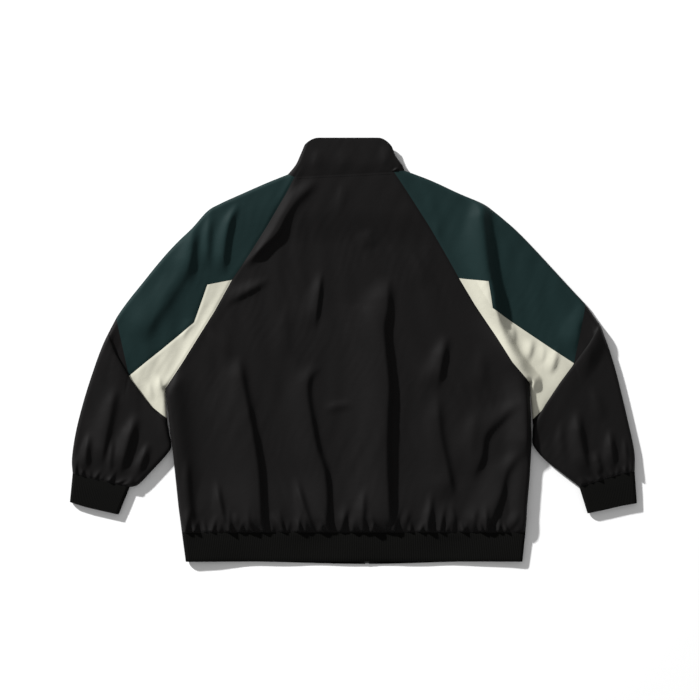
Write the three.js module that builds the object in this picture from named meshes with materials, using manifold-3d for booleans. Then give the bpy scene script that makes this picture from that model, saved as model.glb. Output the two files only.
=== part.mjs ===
// A raglan track jacket with a stand collar, zipped to the top and laid on its front, so that its back is uppermost.
// Millimetres. +X is the wearer's right, +Y points to the collar, +Z is up and the surface it lies on is z = 0.
// The jacket is laid out as one skin of panels. Each panel is a patch between two outlines, from short tables in real
// sizes, and its heights come from one rule for the body and one for the sleeves. Each piece of cloth is then its part
// of the skin, given a thickness and drawn in a little at its seams.
import * as THREE from "three";
import Module from "manifold-3d";

// Thicknesses and clearances
const CLOTH = 1.8; // shell cloth with its lining
const KNIT = 2.4; // doubled knit of the hem band and the cuffs
const COLLAR_CLOTH = 2.4; // collar and its facing
const HALF_GAP = 0.15; // half of the space between two pieces at a seam

// Heights of the laid-out garment
const BODY_LEVEL = 7.5; // the back where it lies on the fronts
const SIDE_EDGE = 7; // middle of the rolled side edge
const SIDE_LOFT = { height: 6, from: 14, reach: 24 }; // how far the back stands up beside that edge
const UNDERARM_EDGE = 4.6; // middle of the fold under the arm
const UNDERARM_LOFT = { height: 2.6, reach: 22 };
const SIDE_ROUND = 8; // how far in that roll reaches
const ARM_EDGE = 6; // the same for the fold along the top of a sleeve
const ARM_ROUND = 7;
const SHOULDER_LEVEL = 12;
const UNDERARM_LEVEL = 6.5;
const NECK_LEVEL = 14.6;
const FOREARM_EDGE = 7;
const FOREARM_LEVEL = 13;
const CUFF_LEVEL = 11;
const CUFF_EDGE = 5.4;
const PUFF = 4; // how far the cloth stands over the elastic hem
const PUFF_REACH = 42;

// Turns rows of bare values into rows with named columns.
const table = (names, rows) =>
  rows.map((row) => Object.fromEntries(names.split(" ").map((name, i) => [name, row[i]])));

// Outlines of the two halves. Each row pairs a point of the inner edge of a panel with one of its outer edge.
const PAIRS = "inX inY outX outY";
const HALVES = {
  left: {
    sign: -1,
    // side edge from hem to underarm
    side: table("x y", [[-309, -327], [-312, -304], [-315, -282], [-321, -224], [-327, -168], [-333, -122], [-339, -68]]),
    // raglan seam from the neck to the underarm panel, and the fold along the top of the sleeve
    raglan: table(PAIRS, [
      [-106, 313, -118, 318], [-122, 282, -158, 302], [-156, 224, -206, 281], [-187, 175, -240, 265.5],
      [-219, 128, -263, 252],
    ]),
    frontRaglan: table("x y", [[-109, 287.5], [-119, 268], [-148, 219], [-182, 172], [-219, 128]]),
    // top of the underarm panel, from the raglan seam to its outer corner
    panelTop: table(PAIRS, [[-219, 128, -263, 252], [-263, 119.5, -290, 222]]),
    // seam between the two colours, down to the elbow
    panelOuter: table(PAIRS, [
      [-263, 119.5, -290, 222], [-275, 85.5, -313, 200], [-287, 51.5, -335, 177], [-316, 27, -358, 150],
      [-345, 3, -382, 120], [-375, -21, -406, 90], [-404, -45, -427, 60],
    ]),
    // raglan seam along the underarm panel, then the fold under the arm
    panelInner: table("x y", [
      [-219, 128], [-250, 72], [-280, 24], [-308, -21], [-339, -68], [-337.5, -94], [-336, -121],
    ]),
    creaseOuter: table("x y", [[-441, 33], [-428, -3], [-404, -45.6]]),
    creaseInner: table("x y", [[-404, -45.6], [-377, -82], [-356, -109], [-335, -130.5]]),
    forearmOuter: table("x y", [
      [-441, 33], [-451, 12], [-464, -22], [-483, -80], [-499, -141], [-507, -192], [-506, -220],
    ]),
    forearmInner: table("x y", [
      [-335, -130.5], [-331, -152], [-330, -172], [-336, -189], [-368, -222], [-403, -245],
    ]),
    cuffSeam: table("x y", [[-506, -220], [-475, -229], [-440, -236.5], [-403, -245]]),
    cuffEnd: table("x y", [[-511, -272], [-482, -281], [-452, -288], [-423, -294.5]]),
  },
  right: {
    sign: 1,
    side: table("x y", [[310, -327], [312, -304], [313, -282], [318, -224], [321, -168], [320, -115], [317, -57]]),
    raglan: table(PAIRS, [
      [73, 322, 92, 325], [101, 280, 140, 307], [137, 224, 190, 284], [164, 178, 233, 265.5], [190.5, 131, 255, 250],
    ]),
    frontRaglan: table("x y", [[83, 294.5], [96, 270], [128, 222], [160, 175], [190.5, 131]]),
    panelTop: table(PAIRS, [[190.5, 131, 255, 250], [242, 125, 285, 225]]),
    panelOuter: table(PAIRS, [
      [242, 125, 285, 225], [246, 101, 305, 206], [249.5, 77, 325, 185], [286, 52, 348, 160], [323, 27, 371, 135],
      [360, 2, 394, 110], [397, -22, 418, 84],
    ]),
    panelInner: table("x y", [
      [190.5, 131], [219, 83], [256, 27], [285, -20], [317, -57], [320.5, -90], [323, -123],
    ]),
    creaseOuter: table("x y", [[443, 49], [423, 14], [397, -22.6]]),
    creaseInner: table("x y", [[397, -22.6], [371, -58], [345, -97], [323.5, -133.5]]),
    forearmOuter: table("x y", [
      [443, 49], [452, 28], [463, -3], [475, -44], [494, -123], [506, -180], [507, -217],
    ]),
    forearmInner: table("x y", [
      [323.5, -133.5], [323, -152], [324, -170], [344, -195], [376, -221], [407, -244.5],
    ]),
    cuffSeam: table("x y", [[507, -217], [483, -222], [447, -233], [407, -244.5]]),
    cuffEnd: table("x y", [[511, -274], [482, -279], [452, -286], [422, -292.5]]),
  },
};

// Folds of the cloth. Each has a crest of three points, a height, and how far its two flanks reach. The near flank
// is on the left of the crest as it is followed, which is the steep side of most of them.
const FOLD = "x0 y0 x1 y1 x2 y2 height near far";
const BODY_FOLDS = table(FOLD, [
  [-64, 304, -122, 240, -190, 160, 8, 13, 24], // beside the raglan seam
  [-148, 144, -190, 122, -232, 98, 4, 11, 20],
  [-213, 1, -184, -132, -172, -312, 11, 16, 48], // long fold on the left
  [-58, 152, -66, 96, -77, 33, 4, 11, 26],
  [-77, -73, -60, -177, -48, -307, 7, 12, 36],
  [64, 134, 50, 0, 61, -307, 13, 22, 52], // long fold right of the middle
  [22, 232, 30, 206, 36, 180, 3, 13, 20],
  [161, 36, 156, -16, 152, -70, 7, 12, 28],
  [150, -86, 120, -170, 112, -290, 5, 24, 28],
  [298, -82, 240, -152, 216, -240, 7, 15, 30], // from the right underarm
  [296, -184, 274, -220, 262, -306, 8, 14, 30],
  [-258, -233, -250, -268, -242, -312, 5, 10, 18],
  [-92, -215, -86, -262, -80, -312, 5, 10, 16],
  [12, -242, 8, -278, 6, -314, 6, 11, 18],
  [132, -238, 129, -276, 126, -314, 6, 10, 16],
]);
const ARM_FOLDS = {
  left: table(FOLD, [
    [-291, 228, -294, 180, -298, 138, 5, 10, 22],
    [-237, 264, -242, 200, -241, 96, 7, 11, 15],
    [-192, 264, -198, 222, -205, 183, 4, 13, 16],
    [-284, 190, -330, 110, -374, 28, 4, 16, 26],
  ]),
  right: table(FOLD, [
    [229, 254, 236, 160, 252, 72, 11, 22, 30],
    [320, 20, 318, 0, 312, -20, 2.5, 10, 12],
    [366, 6, 362, -18, 356, -42, 2.5, 10, 12],
  ]),
};
const FOREARM_FOLDS = {
  left: table(FOLD, [
    [-424, -54, -442, -132, -457, -216, 5, 12, 17],
    [-388, -108, -404, -160, -424, -230, 5, 12, 18],
    [-474, -142, -480, -180, -482, -220, 4, 9, 11],
    [-366, -160, -380, -196, -392, -230, 4, 10, 12],
  ]),
  right: table(FOLD, [
    [402, -100, 404, -160, 410, -230, 5, 13, 20],
    [463, -140, 467, -180, 470, -218, 4, 10, 15],
    [430, -176, 436, -204, 440, -226, 3, 9, 10],
  ]),
};

// Height of the raglan seam, which lies low by the underarm
const RAGLAN_HEIGHTS = table("y z", [[-70, 8.5], [-30, 7.5], [83, 7], [131, 7.5], [224, 10], [313, 14.4]]);

// Gathers where the cloth is eased onto the elastic
const HEM_GATHERS = { count: 30, height: 3, reach: 24 };
const CUFF_GATHERS = { count: 7, height: 2.4, reach: 26 };

// Hem band, its two lofted ends, and the front edges that show below the back at the zip
const HEM = { seamY: -327, level: 7.5, endY: -379.5, leftX: -302, rightX: 304.5, frontDrop: 4.5, edgeZ: 6.5 };
const HEM_ENDS = table("x rise reach", [[-306, 6, 75], [308, 3.5, 50]]);

// Zip, which runs a little off the middle line as the jacket lies. Its heights are from the outer face of the fronts.
const ZIP = { bottomX: 25, bottomY: -384, neckX: -12.6, neckY: 246, frontEdge: 4.5 };
const ZIP_SECTION = table("across z", [[0.15, 0.7], [3, 0.7], [3, 2.9], [13, 2.9], [13, 3.7], [0.15, 3.7]]);

// Neck and collar. Each row is a level line of the collar: its two ends, its back line and how far the front hangs
const NECK = { halfWidth: 105, drop: 75, raglanAngle: 24 };
const COLLAR = table("leftX leftY rightX rightY backY frontDrop frontZ level", [
  [-104, 335, 88, 335, 337, 74, 3.6, 15.5],
  [-96, 352, 77, 350, 359, 72, 6.2, 15.5],
  [-88, 371, 70, 367, 383.5, 68, 6.2, 15],
]);
const COLLAR_EDGE = 8;
const COLLAR_ROUND = 8;
const COLLAR_CORNER = 26;

// Slider and pull, lying under the front of the collar. z is given from the floor.
const SLIDER = {
  width: 8, y0: 300, y1: 313, postY: 309.6, outerZ0: 5, outerZ1: 6.4, innerZ0: 10.2, innerZ1: 11.5,
  bridge: { width: 2, y0: 301.6, y1: 310.4, leg: 1.2, z0: 2, z1: 3 },
};
const CHAIN_END_Y = 309;
const PULL = { width: 6, y0: 287.5, y1: 306.6, z0: 3.3, thick: 1.4, eyeWidth: 3.4, eyeY0: 298, eyeY1: 305.4 };

// Small maths

const mix = (a, b, t) => a + (b - a) * t;
const clamp01 = (t) => Math.min(1, Math.max(0, t));
const ease = (t) => clamp01(t) ** 2 * (3 - 2 * clamp01(t));
const radians = (a) => (a * Math.PI) / 180;
const bell = (d, reach) => Math.exp(-((d / reach) ** 2));
// Quarter ellipse, for a cloth edge that is folded over
const roll = (d, reach) => Math.sqrt(Math.max(0, 1 - (1 - clamp01(d / reach)) ** 2));
// Softer rise from a seam
const swell = (d, reach) => 1 - (1 - clamp01(d / reach)) ** 2;
const v2 = (x, y) => new THREE.Vector2(x, y);
const pathOf = (rows, x = "x", y = "y") => rows.map((row) => v2(row[x], row[y]));

// The nearest place to a point on a path: its distance and the normal to the left of the path.
function nearest(path, p) {
  let best = { d: Infinity };
  for (let i = 0; i + 1 < path.length; i++) {
    const along = path[i + 1].clone().sub(path[i]);
    const t = clamp01(p.clone().sub(path[i]).dot(along) / along.lengthSq());
    const foot = path[i].clone().addScaledVector(along, t);
    const d = foot.distanceTo(p);
    if (d < best.d) best = { d, foot, normal: v2(-along.y, along.x).normalize() };
  }
  return best;
}

// Each piece of a path cut into the same number of steps.
function stations(path, steps) {
  const made = [];
  for (let i = 0; i + 1 < path.length; i++)
    for (let k = 0; k < steps; k++) made.push(path[i].clone().lerp(path[i + 1], k / steps));
  return [...made, path.at(-1).clone()];
}

// The same on a smooth curve through all the points of a path, between two of them.
function curved(path, from, to, fractions) {
  const curve = new THREE.SplineCurve(path);
  const made = [];
  for (let i = from; i < to; i++) made.push(...fractions.slice(0, -1).map((f) => curve.getPoint((i + f) / (path.length - 1))));
  return [...made, curve.getPoint(to / (path.length - 1))];
}
const even = (steps) => Array.from({ length: steps + 1 }, (_, k) => k / steps);

// A place on a path by its share of the whole length.
function placeOn(path, share) {
  const lengths = path.slice(1).map((p, i) => p.distanceTo(path[i]));
  let left = share * lengths.reduce((a, b) => a + b, 0);
  for (let i = 0; i < lengths.length; i++) {
    if (left <= lengths[i] || i === lengths.length - 1)
      return path[i].clone().lerp(path[i + 1], clamp01(left / lengths[i]));
    left -= lengths[i];
  }
}
const lengthOf = (path) => path.slice(1).reduce((sum, p, i) => sum + p.distanceTo(path[i]), 0);

// Height that one fold adds at a point: a bell across its crest that fades at both ends.
function foldHeight(fold, p) {
  const crest = [v2(fold.x0, fold.y0), v2(fold.x1, fold.y1), v2(fold.x2, fold.y2)];
  const { d, foot, normal } = nearest(crest, p);
  if (d > 2.5 * Math.max(fold.near, fold.far)) return 0;
  const reach = lengthOf(crest) / 2;
  const end = Math.min(foot.distanceTo(crest[0]), foot.distanceTo(crest[2]), reach) / reach;
  const across = normal.dot(p.clone().sub(foot)) >= 0 ? fold.near : fold.far;
  return fold.height * bell(d, across) * (0.3 + 0.7 * ease(end * 1.6));
}
const foldsAt = (folds, p) => folds.reduce((sum, fold) => sum + foldHeight(fold, p), 0);

// Height of a gather at a place along its seam, counted in gathers, and at a distance from it.
function gather(phase, away, { height, reach }) {
  const wave = 0.5 - 0.5 * Math.cos(2 * Math.PI * phase);
  return height * wave * swell(away, 9) * Math.exp(-away / (reach * (0.8 + 0.4 * Math.sin(2.4 * phase))));
}

// Heights

// The band pulls the hem flat, and its two ends stay lofted.
const hemLevel = (x) => HEM.level + HEM_ENDS.reduce((sum, end) => sum + end.rise * bell(x - end.x, end.reach), 0);

function readTable(rows, y) {
  const after = rows.findIndex((row) => row.y > y);
  if (after === 0) return rows[0].z;
  if (after < 0) return rows.at(-1).z;
  const [a, b] = [rows[after - 1], rows[after]];
  return mix(a.z, b.z, (y - a.y) / (b.y - a.y));
}
const raglanHeight = (half, p) =>
  mix(UNDERARM_EDGE, readTable(RAGLAN_HEIGHTS, p.y), roll(p.distanceTo(half.underFold[0]), 12));
const sideEdge = (half, p) => mix(UNDERARM_EDGE, SIDE_EDGE, ease(p.distanceTo(half.underFold[0]) / 60));

// A height given by a border and by the inside of a panel
function joined(borders, inside) {
  const total = borders.reduce((sum, { d, reach }) => sum * swell(d, reach), 1);
  const weights = borders.map(({ d, reach }) => 1 / Math.max(1e-6, d / reach) ** 2);
  const border = borders.reduce((sum, { z }, i) => sum + z * weights[i], 0) / weights.reduce((a, b) => a + b, 0);
  return mix(border, inside, total);
}

const body = {};
const halfOf = (p) => (p.x < 0 ? body.left : body.right);
function bodyBack(p) {
  const half = halfOf(p);
  const side = nearest(half.side, p).d;
  const up = p.y - HEM.seamY;
  const toNeck = ease((p.y - 190) / 65);
  const phase = ((p.x - HEM.leftX) / (HEM.rightX - HEM.leftX)) * HEM_GATHERS.count;
  const loft = SIDE_LOFT.height * bell(Math.max(0, side - SIDE_LOFT.from), SIDE_LOFT.reach);
  const puff = PUFF * bell(up - PUFF_REACH, PUFF_REACH);
  const lying = mix(BODY_LEVEL + Math.max(puff, loft) + foldsAt(BODY_FOLDS, p), NECK_LEVEL, toNeck);
  const borders = [
    { d: nearest(half.raglanAll, p).d, reach: 20, z: raglanHeight(half, p) },
    { d: up, reach: PUFF_REACH, z: hemLevel(p.x) },
  ];
  return mix(sideEdge(half, p), joined(borders, lying + gather(phase, up, HEM_GATHERS)), roll(side, SIDE_ROUND));
}
function bodyFront(p) {
  const half = halfOf(p);
  const side = mix(sideEdge(half, p), 0, roll(nearest(half.side, p).d, SIDE_ROUND));
  return Math.max(side, mix(COLLAR_EDGE, 0, roll(p.distanceTo(half.neckEnd), COLLAR_ROUND)));
}

const armEdge = (half, p) => mix(COLLAR_EDGE, ARM_EDGE, ease(p.distanceTo(half.neckEnd) / 90));
function armRim(half, p) {
  const outer = nearest(half.topFold, p).d;
  const inner = nearest(half.underFold, p).d;
  return outer < inner ? { d: outer, z: armEdge(half, p) } : { d: inner, z: UNDERARM_EDGE };
}
function armBack(half, p) {
  const rim = armRim(half, p);
  const raglan = nearest(half.raglanAll, p).d;
  const down = ease((nearest(half.topFold, p).d - 30) / 110);
  const loft = UNDERARM_LOFT.height * bell(nearest(half.underFold, p).d, UNDERARM_LOFT.reach);
  const level = mix(SHOULDER_LEVEL, UNDERARM_LEVEL, down) + loft + foldsAt(half.armFolds, p);
  const inside = joined([{ d: raglan, reach: 18, z: raglanHeight(half, p) }], level);
  return mix(rim.z, inside, roll(rim.d, ARM_ROUND));
}
function armFront(half, p) {
  const rim = armRim(half, p);
  return mix(rim.z, 0, roll(rim.d, ARM_ROUND));
}

// Patches of the skin

const patches = [];
// A patch is rows of points. Rows may hold different numbers of points, which t places along the row.
const addPatch = (piece, rows) => patches.push({ piece, rows });
const asRow = (list, heightOf) => {
  const total = Math.max(1e-9, lengthOf(list));
  let run = 0;
  return list.map((p, i) => {
    run += i ? p.distanceTo(list[i - 1]) : 0;
    return { point: new THREE.Vector3(p.x, p.y, heightOf(p)), t: run / total };
  });
};
const ruledRow = (a, b, list) => list.map((t) => a.clone().lerp(b, t));

// A patch between four sides. first and last are rows, start and end join their ends.
function blended(first, last, start, end, list) {
  const rows = [];
  start.forEach((s, r) => {
    const v = r / (start.length - 1);
    rows.push(
      list.map((u) => {
        const [f, l] = [placeOn(first, u), placeOn(last, u)];
        const p = f.clone().multiplyScalar(1 - v).addScaledVector(l, v);
        p.addScaledVector(start[r], 1 - u).addScaledVector(end[r], u);
        p.addScaledVector(first[0], -(1 - u) * (1 - v)).addScaledVector(first.at(-1), -u * (1 - v));
        return p.addScaledVector(last[0], -(1 - u) * v).addScaledVector(last.at(-1), -u * v);
      }),
    );
  });
  return rows;
}

// Shares of a width at which a row has points: close together at a rolled edge, even elsewhere.
function shares(width, count, rollAtStart, rollAtEnd) {
  const near = [0, 1.1, 3.4, 7.5].map((d) => (d / width) * Math.min(1, width / 34));
  const start = rollAtStart ? near : [0];
  const end = rollAtEnd ? near.map((t) => 1 - t).reverse() : [1];
  const between = [];
  for (let k = 1; k < count; k++) between.push(mix(start.at(-1), end[0], k / count));
  return [...start, ...between, ...end];
}

const STEPS = { hem: 2, side: 2, raglan: 2, panel: 2 };
const TOP_SHARES = shares(170, 4, true, false);
const HEM_TABLE_ROWS = 2; // rows of the side tables that lie in the gathered zone

for (const [name, data] of Object.entries(HALVES)) {
  const side = pathOf(data.side);
  const panelInner = pathOf(data.panelInner);
  // the outer edge from the neck to the cuff, with the corner of the underarm panel's row as its fifth point
  const outline = [
    ...pathOf(data.raglan, "outX", "outY"),
    ...pathOf(data.panelOuter, "outX", "outY"),
    ...pathOf(data.forearmOuter),
  ];
  const [atPanel, atElbow] = [data.raglan.length - 1, data.raglan.length + data.panelOuter.length - 1];
  const topOut = curved(outline, atPanel, atPanel + 1, TOP_SHARES);
  const raglanUpperOut = curved(outline, 0, atPanel, even(STEPS.raglan));
  const panelOuterOut = curved(outline, atPanel + 1, atElbow, even(STEPS.panel));
  const forearmOuter = curved(outline, atElbow + 1, outline.length - 1, even(4));
  body[name] = {
    name,
    sign: data.sign,
    side,
    sideStations: [
      ...stations(side.slice(0, HEM_TABLE_ROWS), STEPS.hem),
      ...stations(side.slice(HEM_TABLE_ROWS - 1), STEPS.side).slice(1),
    ],
    raglanUpper: stations(pathOf(data.raglan, "inX", "inY"), STEPS.raglan),
    raglanUpperOut,
    topOut,
    frontRaglan: stations(pathOf(data.frontRaglan), STEPS.raglan),
    panelOuterIn: stations(pathOf(data.panelOuter, "inX", "inY"), STEPS.panel),
    panelOuterOut,
    forearmOuter,
    forearmInner: curved(pathOf(data.forearmInner), 0, data.forearmInner.length - 1, even(4)),
    panelInner: stations(panelInner, STEPS.panel),
    raglanLower: stations(panelInner.slice(0, 5), STEPS.panel),
    raglanAll: [...pathOf(data.raglan, "inX", "inY"), ...panelInner.slice(1, 5)],
    underFold: panelInner.slice(4),
    neckEnd: v2(data.raglan[0].outX, data.raglan[0].outY),
    topFold: [...raglanUpperOut, ...topOut.slice(1), ...panelOuterOut.slice(1), forearmOuter[0]],
    armFolds: ARM_FOLDS[name],
  };
}

// Sleeves: the piece over the shoulder, the underarm panel, the lower sleeve and the cuff.

// The sleeve is bent at the elbow, so its back is folded under itself there. Each row of the tuck has its place and
// height where the tuck is deep, and where it runs out at the two edges.
const TUCK = table("back ahead add lift flatLift", [
  [0.5, 1, -3, 0, 0.8],
  [0.36, 1, 0, 0.45, 1.4],
  [0.24, 1, -3, 0.9, 2],
  [0.12, 0, 5, 1, 2.7],
  [0, 0, 0, 3.6, 3.6],
]);
const TUCK_DEPTH = 20;
const TUCK_TOP = 6.4;
const FOREARM_ROWS = [0, 0.05, 0.12, 0.23, 0.37, 0.52, 0.67, 0.8, 0.91, 1];
const FIRST_ROW_SHARE = 0.5;
const CUFF_ROWS = [0, 0.5, 1];

// The upper face, or the face that lies below, of one sleeve
function sleeveLayer(half, upper, spans) {
  const data = HALVES[half.name];
  const heightOf = upper ? (p) => armBack(half, p) : (p) => armFront(half, p);
  const across = shares(170, spans.panel, false, true);
  // the piece over the shoulder, row by row from the neck to the elbow
  const topIn = TOP_SHARES.map((t) => half.raglanUpper.at(-1).clone().lerp(half.panelOuterIn[0], t)).slice(1);
  const inner = [...(upper ? half.raglanUpper : half.frontRaglan), ...topIn, ...half.panelOuterIn.slice(1)];
  const outer = [...half.raglanUpperOut, ...half.topOut.slice(1), ...half.panelOuterOut.slice(1)];
  const topRows = inner.map((p, r) =>
    asRow(ruledRow(outer[r], p, shares(p.distanceTo(outer[r]), spans.top, true, false)), heightOf),
  );
  addPatch(`sleeve_top_${half.name}`, topRows);

  // the underarm panel, from the colour seam to the raglan seam and the fold under the arm
  const creaseInner = pathOf(data.creaseInner);
  const along = creaseInner.at(-1).clone().sub(creaseInner[0]);
  const beyond = v2(half.sign * along.y, -half.sign * along.x).normalize();
  if (beyond.y > 0) beyond.negate();
  const panelRows = half.panelOuterIn.map((a, r) => {
    const row = ruledRow(a, half.panelInner[r], across);
    if (r === half.panelOuterIn.length - 1)
      row.forEach((p, i) => p.addScaledVector(beyond, 7 * Math.sin(Math.PI * across[i])));
    return asRow(row, heightOf);
  });
  addPatch(`sleeve_under_${half.name}`, panelRows);

  // the lower sleeve, which starts from the same seam
  const [topEnd, panelEnd] = [topRows.at(-1), panelRows.at(-1)];
  const seam = [...topEnd, ...panelEnd.slice(1)].map((q) => q.point);
  const creaseOuter = pathOf(data.creaseOuter);
  const crease = [...creaseOuter, ...creaseInner.slice(1)];
  const joint = topEnd.length - 1;
  const creaseAt = seam.map((_, i) =>
    i <= joint ? placeOn(creaseOuter, topEnd[i].t) : placeOn(creaseInner, panelEnd[i - joint].t),
  );
  const whole = asRow(creaseAt, () => 0).map((q) => q.t);
  const cuffSeam = pathOf(data.cuffSeam);
  const edges = [half.forearmOuter, half.forearmInner];
  const edgeStations = edges.map((edge) => FOREARM_ROWS.map((t) => placeOn(edge, t)));
  const plan = blended(crease, cuffSeam, edgeStations[0], edgeStations[1], whole);
  plan[0] = creaseAt;
  const rims = [[half.panelOuterOut.at(-1), ...edges[0]], [half.panelInner.at(-1), ...edges[1]]];
  const rimDistance = (p, i) =>
    i === 0 || i === seam.length - 1 ? 0 : Math.min(nearest(rims[0], p).d, nearest(rims[1], p).d);
  const base = creaseAt.map((p, i) => (upper ? Math.max(seam[i].z, armBack(half, p)) : 0));
  const at = (p, z) => new THREE.Vector3(p.x, p.y, z);

  const rows = [seam.map((q) => q.clone())];
  for (const tuck of TUCK)
    rows.push(
      creaseAt.map((k, i) => {
        const d = rimDistance(k, i);
        const deep = upper ? ease((d - 7) / 26) : 0;
        const way = plan[3][i].clone().sub(k).normalize();
        const flat = k.clone().lerp(v2(seam[i].x, seam[i].y), tuck.back);
        const p = flat.lerp(k.clone().addScaledVector(way, TUCK_DEPTH * tuck.ahead + tuck.add), deep);
        const rimZ = mix(whole[i] < 0.5 ? ARM_EDGE : UNDERARM_EDGE, FOREARM_EDGE, 1 - tuck.back);
        const level = upper ? base[i] + mix(tuck.flatLift, tuck.lift, deep) : 0;
        return at(p, mix(rimZ, level, roll(d, ARM_ROUND)));
      }),
    );
  const forearm = [plan[0].map((k, i) => k.clone().lerp(plan[1][i], FIRST_ROW_SHARE)), ...plan.slice(1)];
  for (const row of forearm)
    rows.push(
      row.map((p, i) => {
        const fromCrease = nearest(crease, p).d;
        const toCuff = nearest(cuffSeam, p).d;
        const free =
          FOREARM_LEVEL + foldsAt(FOREARM_FOLDS[half.name], p) + gather(whole[i] * CUFF_GATHERS.count, toCuff, CUFF_GATHERS);
        const rising = mix(base[i] + TUCK_TOP - 1.2 * bell(fromCrease, 7), free, ease((fromCrease - 6) / 34));
        const level = upper ? mix(CUFF_LEVEL, rising, swell(toCuff, 26)) : 0;
        return at(p, mix(mix(CUFF_EDGE, FOREARM_EDGE, ease(toCuff / 60)), level, roll(rimDistance(p, i), ARM_ROUND)));
      }),
    );
  const lower = rows.map((row) => row.map((point, i) => ({ point, t: whole[i] })));
  addPatch(`sleeve_lower_${half.name}`, lower);

  // the cuff, from the same points
  const cuffEnd = pathOf(data.cuffEnd);
  const cuffEdges = [[cuffSeam[0], cuffEnd[0]], [cuffSeam.at(-1), cuffEnd.at(-1)]];
  const cuff = CUFF_ROWS.map((v) =>
    lower.at(-1).map(({ point, t }) => {
      const p = v2(point.x, point.y).lerp(placeOn(cuffEnd, t), v);
      const d = Math.min(nearest(cuffEdges[0], p).d, nearest(cuffEdges[1], p).d);
      const z = mix(CUFF_EDGE, upper ? CUFF_LEVEL : 0, roll(d, ARM_ROUND));
      return { point: at(p, mix(point.z, z, ease(v * 2))), t };
    }),
  );
  addPatch(`cuff_${half.name}`, cuff);
  return { neck: topRows[0].map((q) => q.point) };
}

for (const half of Object.values(body)) {
  half.neckBack = sleeveLayer(half, true, { top: 5, panel: 4 }).neck;
  half.neckFront = sleeveLayer(half, false, { top: 1, panel: 1 }).neck;
}

// Back
const { left, right } = body;
const backEdge = (half) => [...half.sideStations, ...[...half.raglanLower].reverse().slice(1), ...[...half.raglanUpper].reverse().slice(1)];
const gatheredRows = STEPS.hem * (HEM_TABLE_ROWS - 1) + 1;
const backRows = backEdge(left).map((a, r) => {
  const b = backEdge(right)[r];
  const fine = r < gatheredRows;
  const width = a.distanceTo(b);
  const list = fine ? shares(width, HEM_GATHERS.count * 4, true, true) : shares(width, Math.max(12, Math.round(width / 22)), true, true);
  return asRow(ruledRow(a, b, list), bodyBack);
});
addPatch("back", backRows);

// Fronts
const zipX = (y) => mix(ZIP.bottomX, ZIP.neckX, clamp01((y - ZIP.bottomY) / (ZIP.neckY - ZIP.bottomY)));
function neckFrontAt(half, angle) {
  const x = ZIP.neckX + half.sign * NECK.halfWidth * Math.cos(radians(angle));
  const endY = mix(left.neckEnd.y, right.neckEnd.y, clamp01((x - left.neckEnd.x) / (right.neckEnd.x - left.neckEnd.x)));
  return v2(x, endY - NECK.drop * Math.sin(radians(angle)));
}
for (const half of Object.values(body)) {
  const outer = [...half.sideStations, ...[...half.raglanLower].reverse().slice(1), ...[...half.frontRaglan].reverse().slice(1)];
  const neckCorner = half.frontRaglan[0];
  const zipTop = v2(zipX(ZIP.neckY) + half.sign * ZIP.frontEdge, ZIP.neckY);
  const bottom = [half.side[0], v2(zipX(HEM.seamY) + half.sign * ZIP.frontEdge, HEM.seamY)];
  const neck = [30, 42, 54, 66, 78].map((angle) => neckFrontAt(half, angle));
  const top = [neckCorner, ...neck.filter((p) => half.sign * (neckCorner.x - p.x) > 3), zipTop];
  const lengths = outer.map((_, r) => lengthOf(outer.slice(0, r + 1)) / lengthOf(outer));
  const inner = lengths.map((t) => bottom[1].clone().lerp(zipTop, t));
  const list = shares(300, 3, true, false);
  const grid = outer.map((start, r) =>
    list.map((u) => {
      const v = lengths[r];
      const p = placeOn(bottom, u).multiplyScalar(1 - v).addScaledVector(placeOn(top, u), v);
      p.addScaledVector(start, 1 - u).addScaledVector(inner[r], u);
      p.addScaledVector(bottom[0], -(1 - u) * (1 - v)).addScaledVector(bottom[1], -u * (1 - v));
      return p.addScaledVector(top[0], -(1 - u) * v).addScaledVector(top.at(-1), -u * v);
    }),
  );
  half.frontRows = grid.map((row) => asRow(row, bodyFront));
  addPatch(`front_${half.name}`, half.frontRows);
}

// Hem band, from the same points as the body: the back of it and its two front parts
const bandEdge = (half, v) => v2(mix(half.side[0].x, half.sign < 0 ? HEM.leftX : HEM.rightX, v), mix(HEM.seamY, HEM.endY, v));
const bandBack = (p, v) => {
  const d = Math.min(p.distanceTo(v2(bandEdge(left, v).x, p.y)), p.distanceTo(v2(bandEdge(right, v).x, p.y)));
  return mix(mix(SIDE_EDGE, HEM.edgeZ, v), hemLevel(p.x) - 1.2 * v, roll(d, SIDE_ROUND));
};
addPatch("hem_band", [
  backRows[0],
  ...[0.2, 0.6, 1].map((v) =>
    asRow(
      ruledRow(bandEdge(left, v), bandEdge(right, v), shares(610, 34, true, true)),
      (p) => bandBack(p, v),
    ),
  ),
]);
for (const half of Object.values(body)) {
  const first = half.frontRows[0];
  const rows = [0.2, 0.6, 1].map((v) => {
    const edge = bandEdge(half, v);
    const y = HEM.endY - HEM.frontDrop;
    const zipEnd = v2(zipX(mix(HEM.seamY, y, v)) + half.sign * ZIP.frontEdge, mix(HEM.seamY, y, v));
    return first.map(({ t }) => {
      const p = edge.clone().lerp(zipEnd, t);
      p.y = mix(edge.y, zipEnd.y, ease(t * 1.4 - 0.4));
      const z = mix(mix(SIDE_EDGE, HEM.edgeZ, v), 0, roll(Math.abs(p.x - edge.x), SIDE_ROUND));
      return { point: new THREE.Vector3(p.x, p.y, z), t };
    });
  });
  addPatch("hem_band", [first, ...rows]);
}

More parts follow.
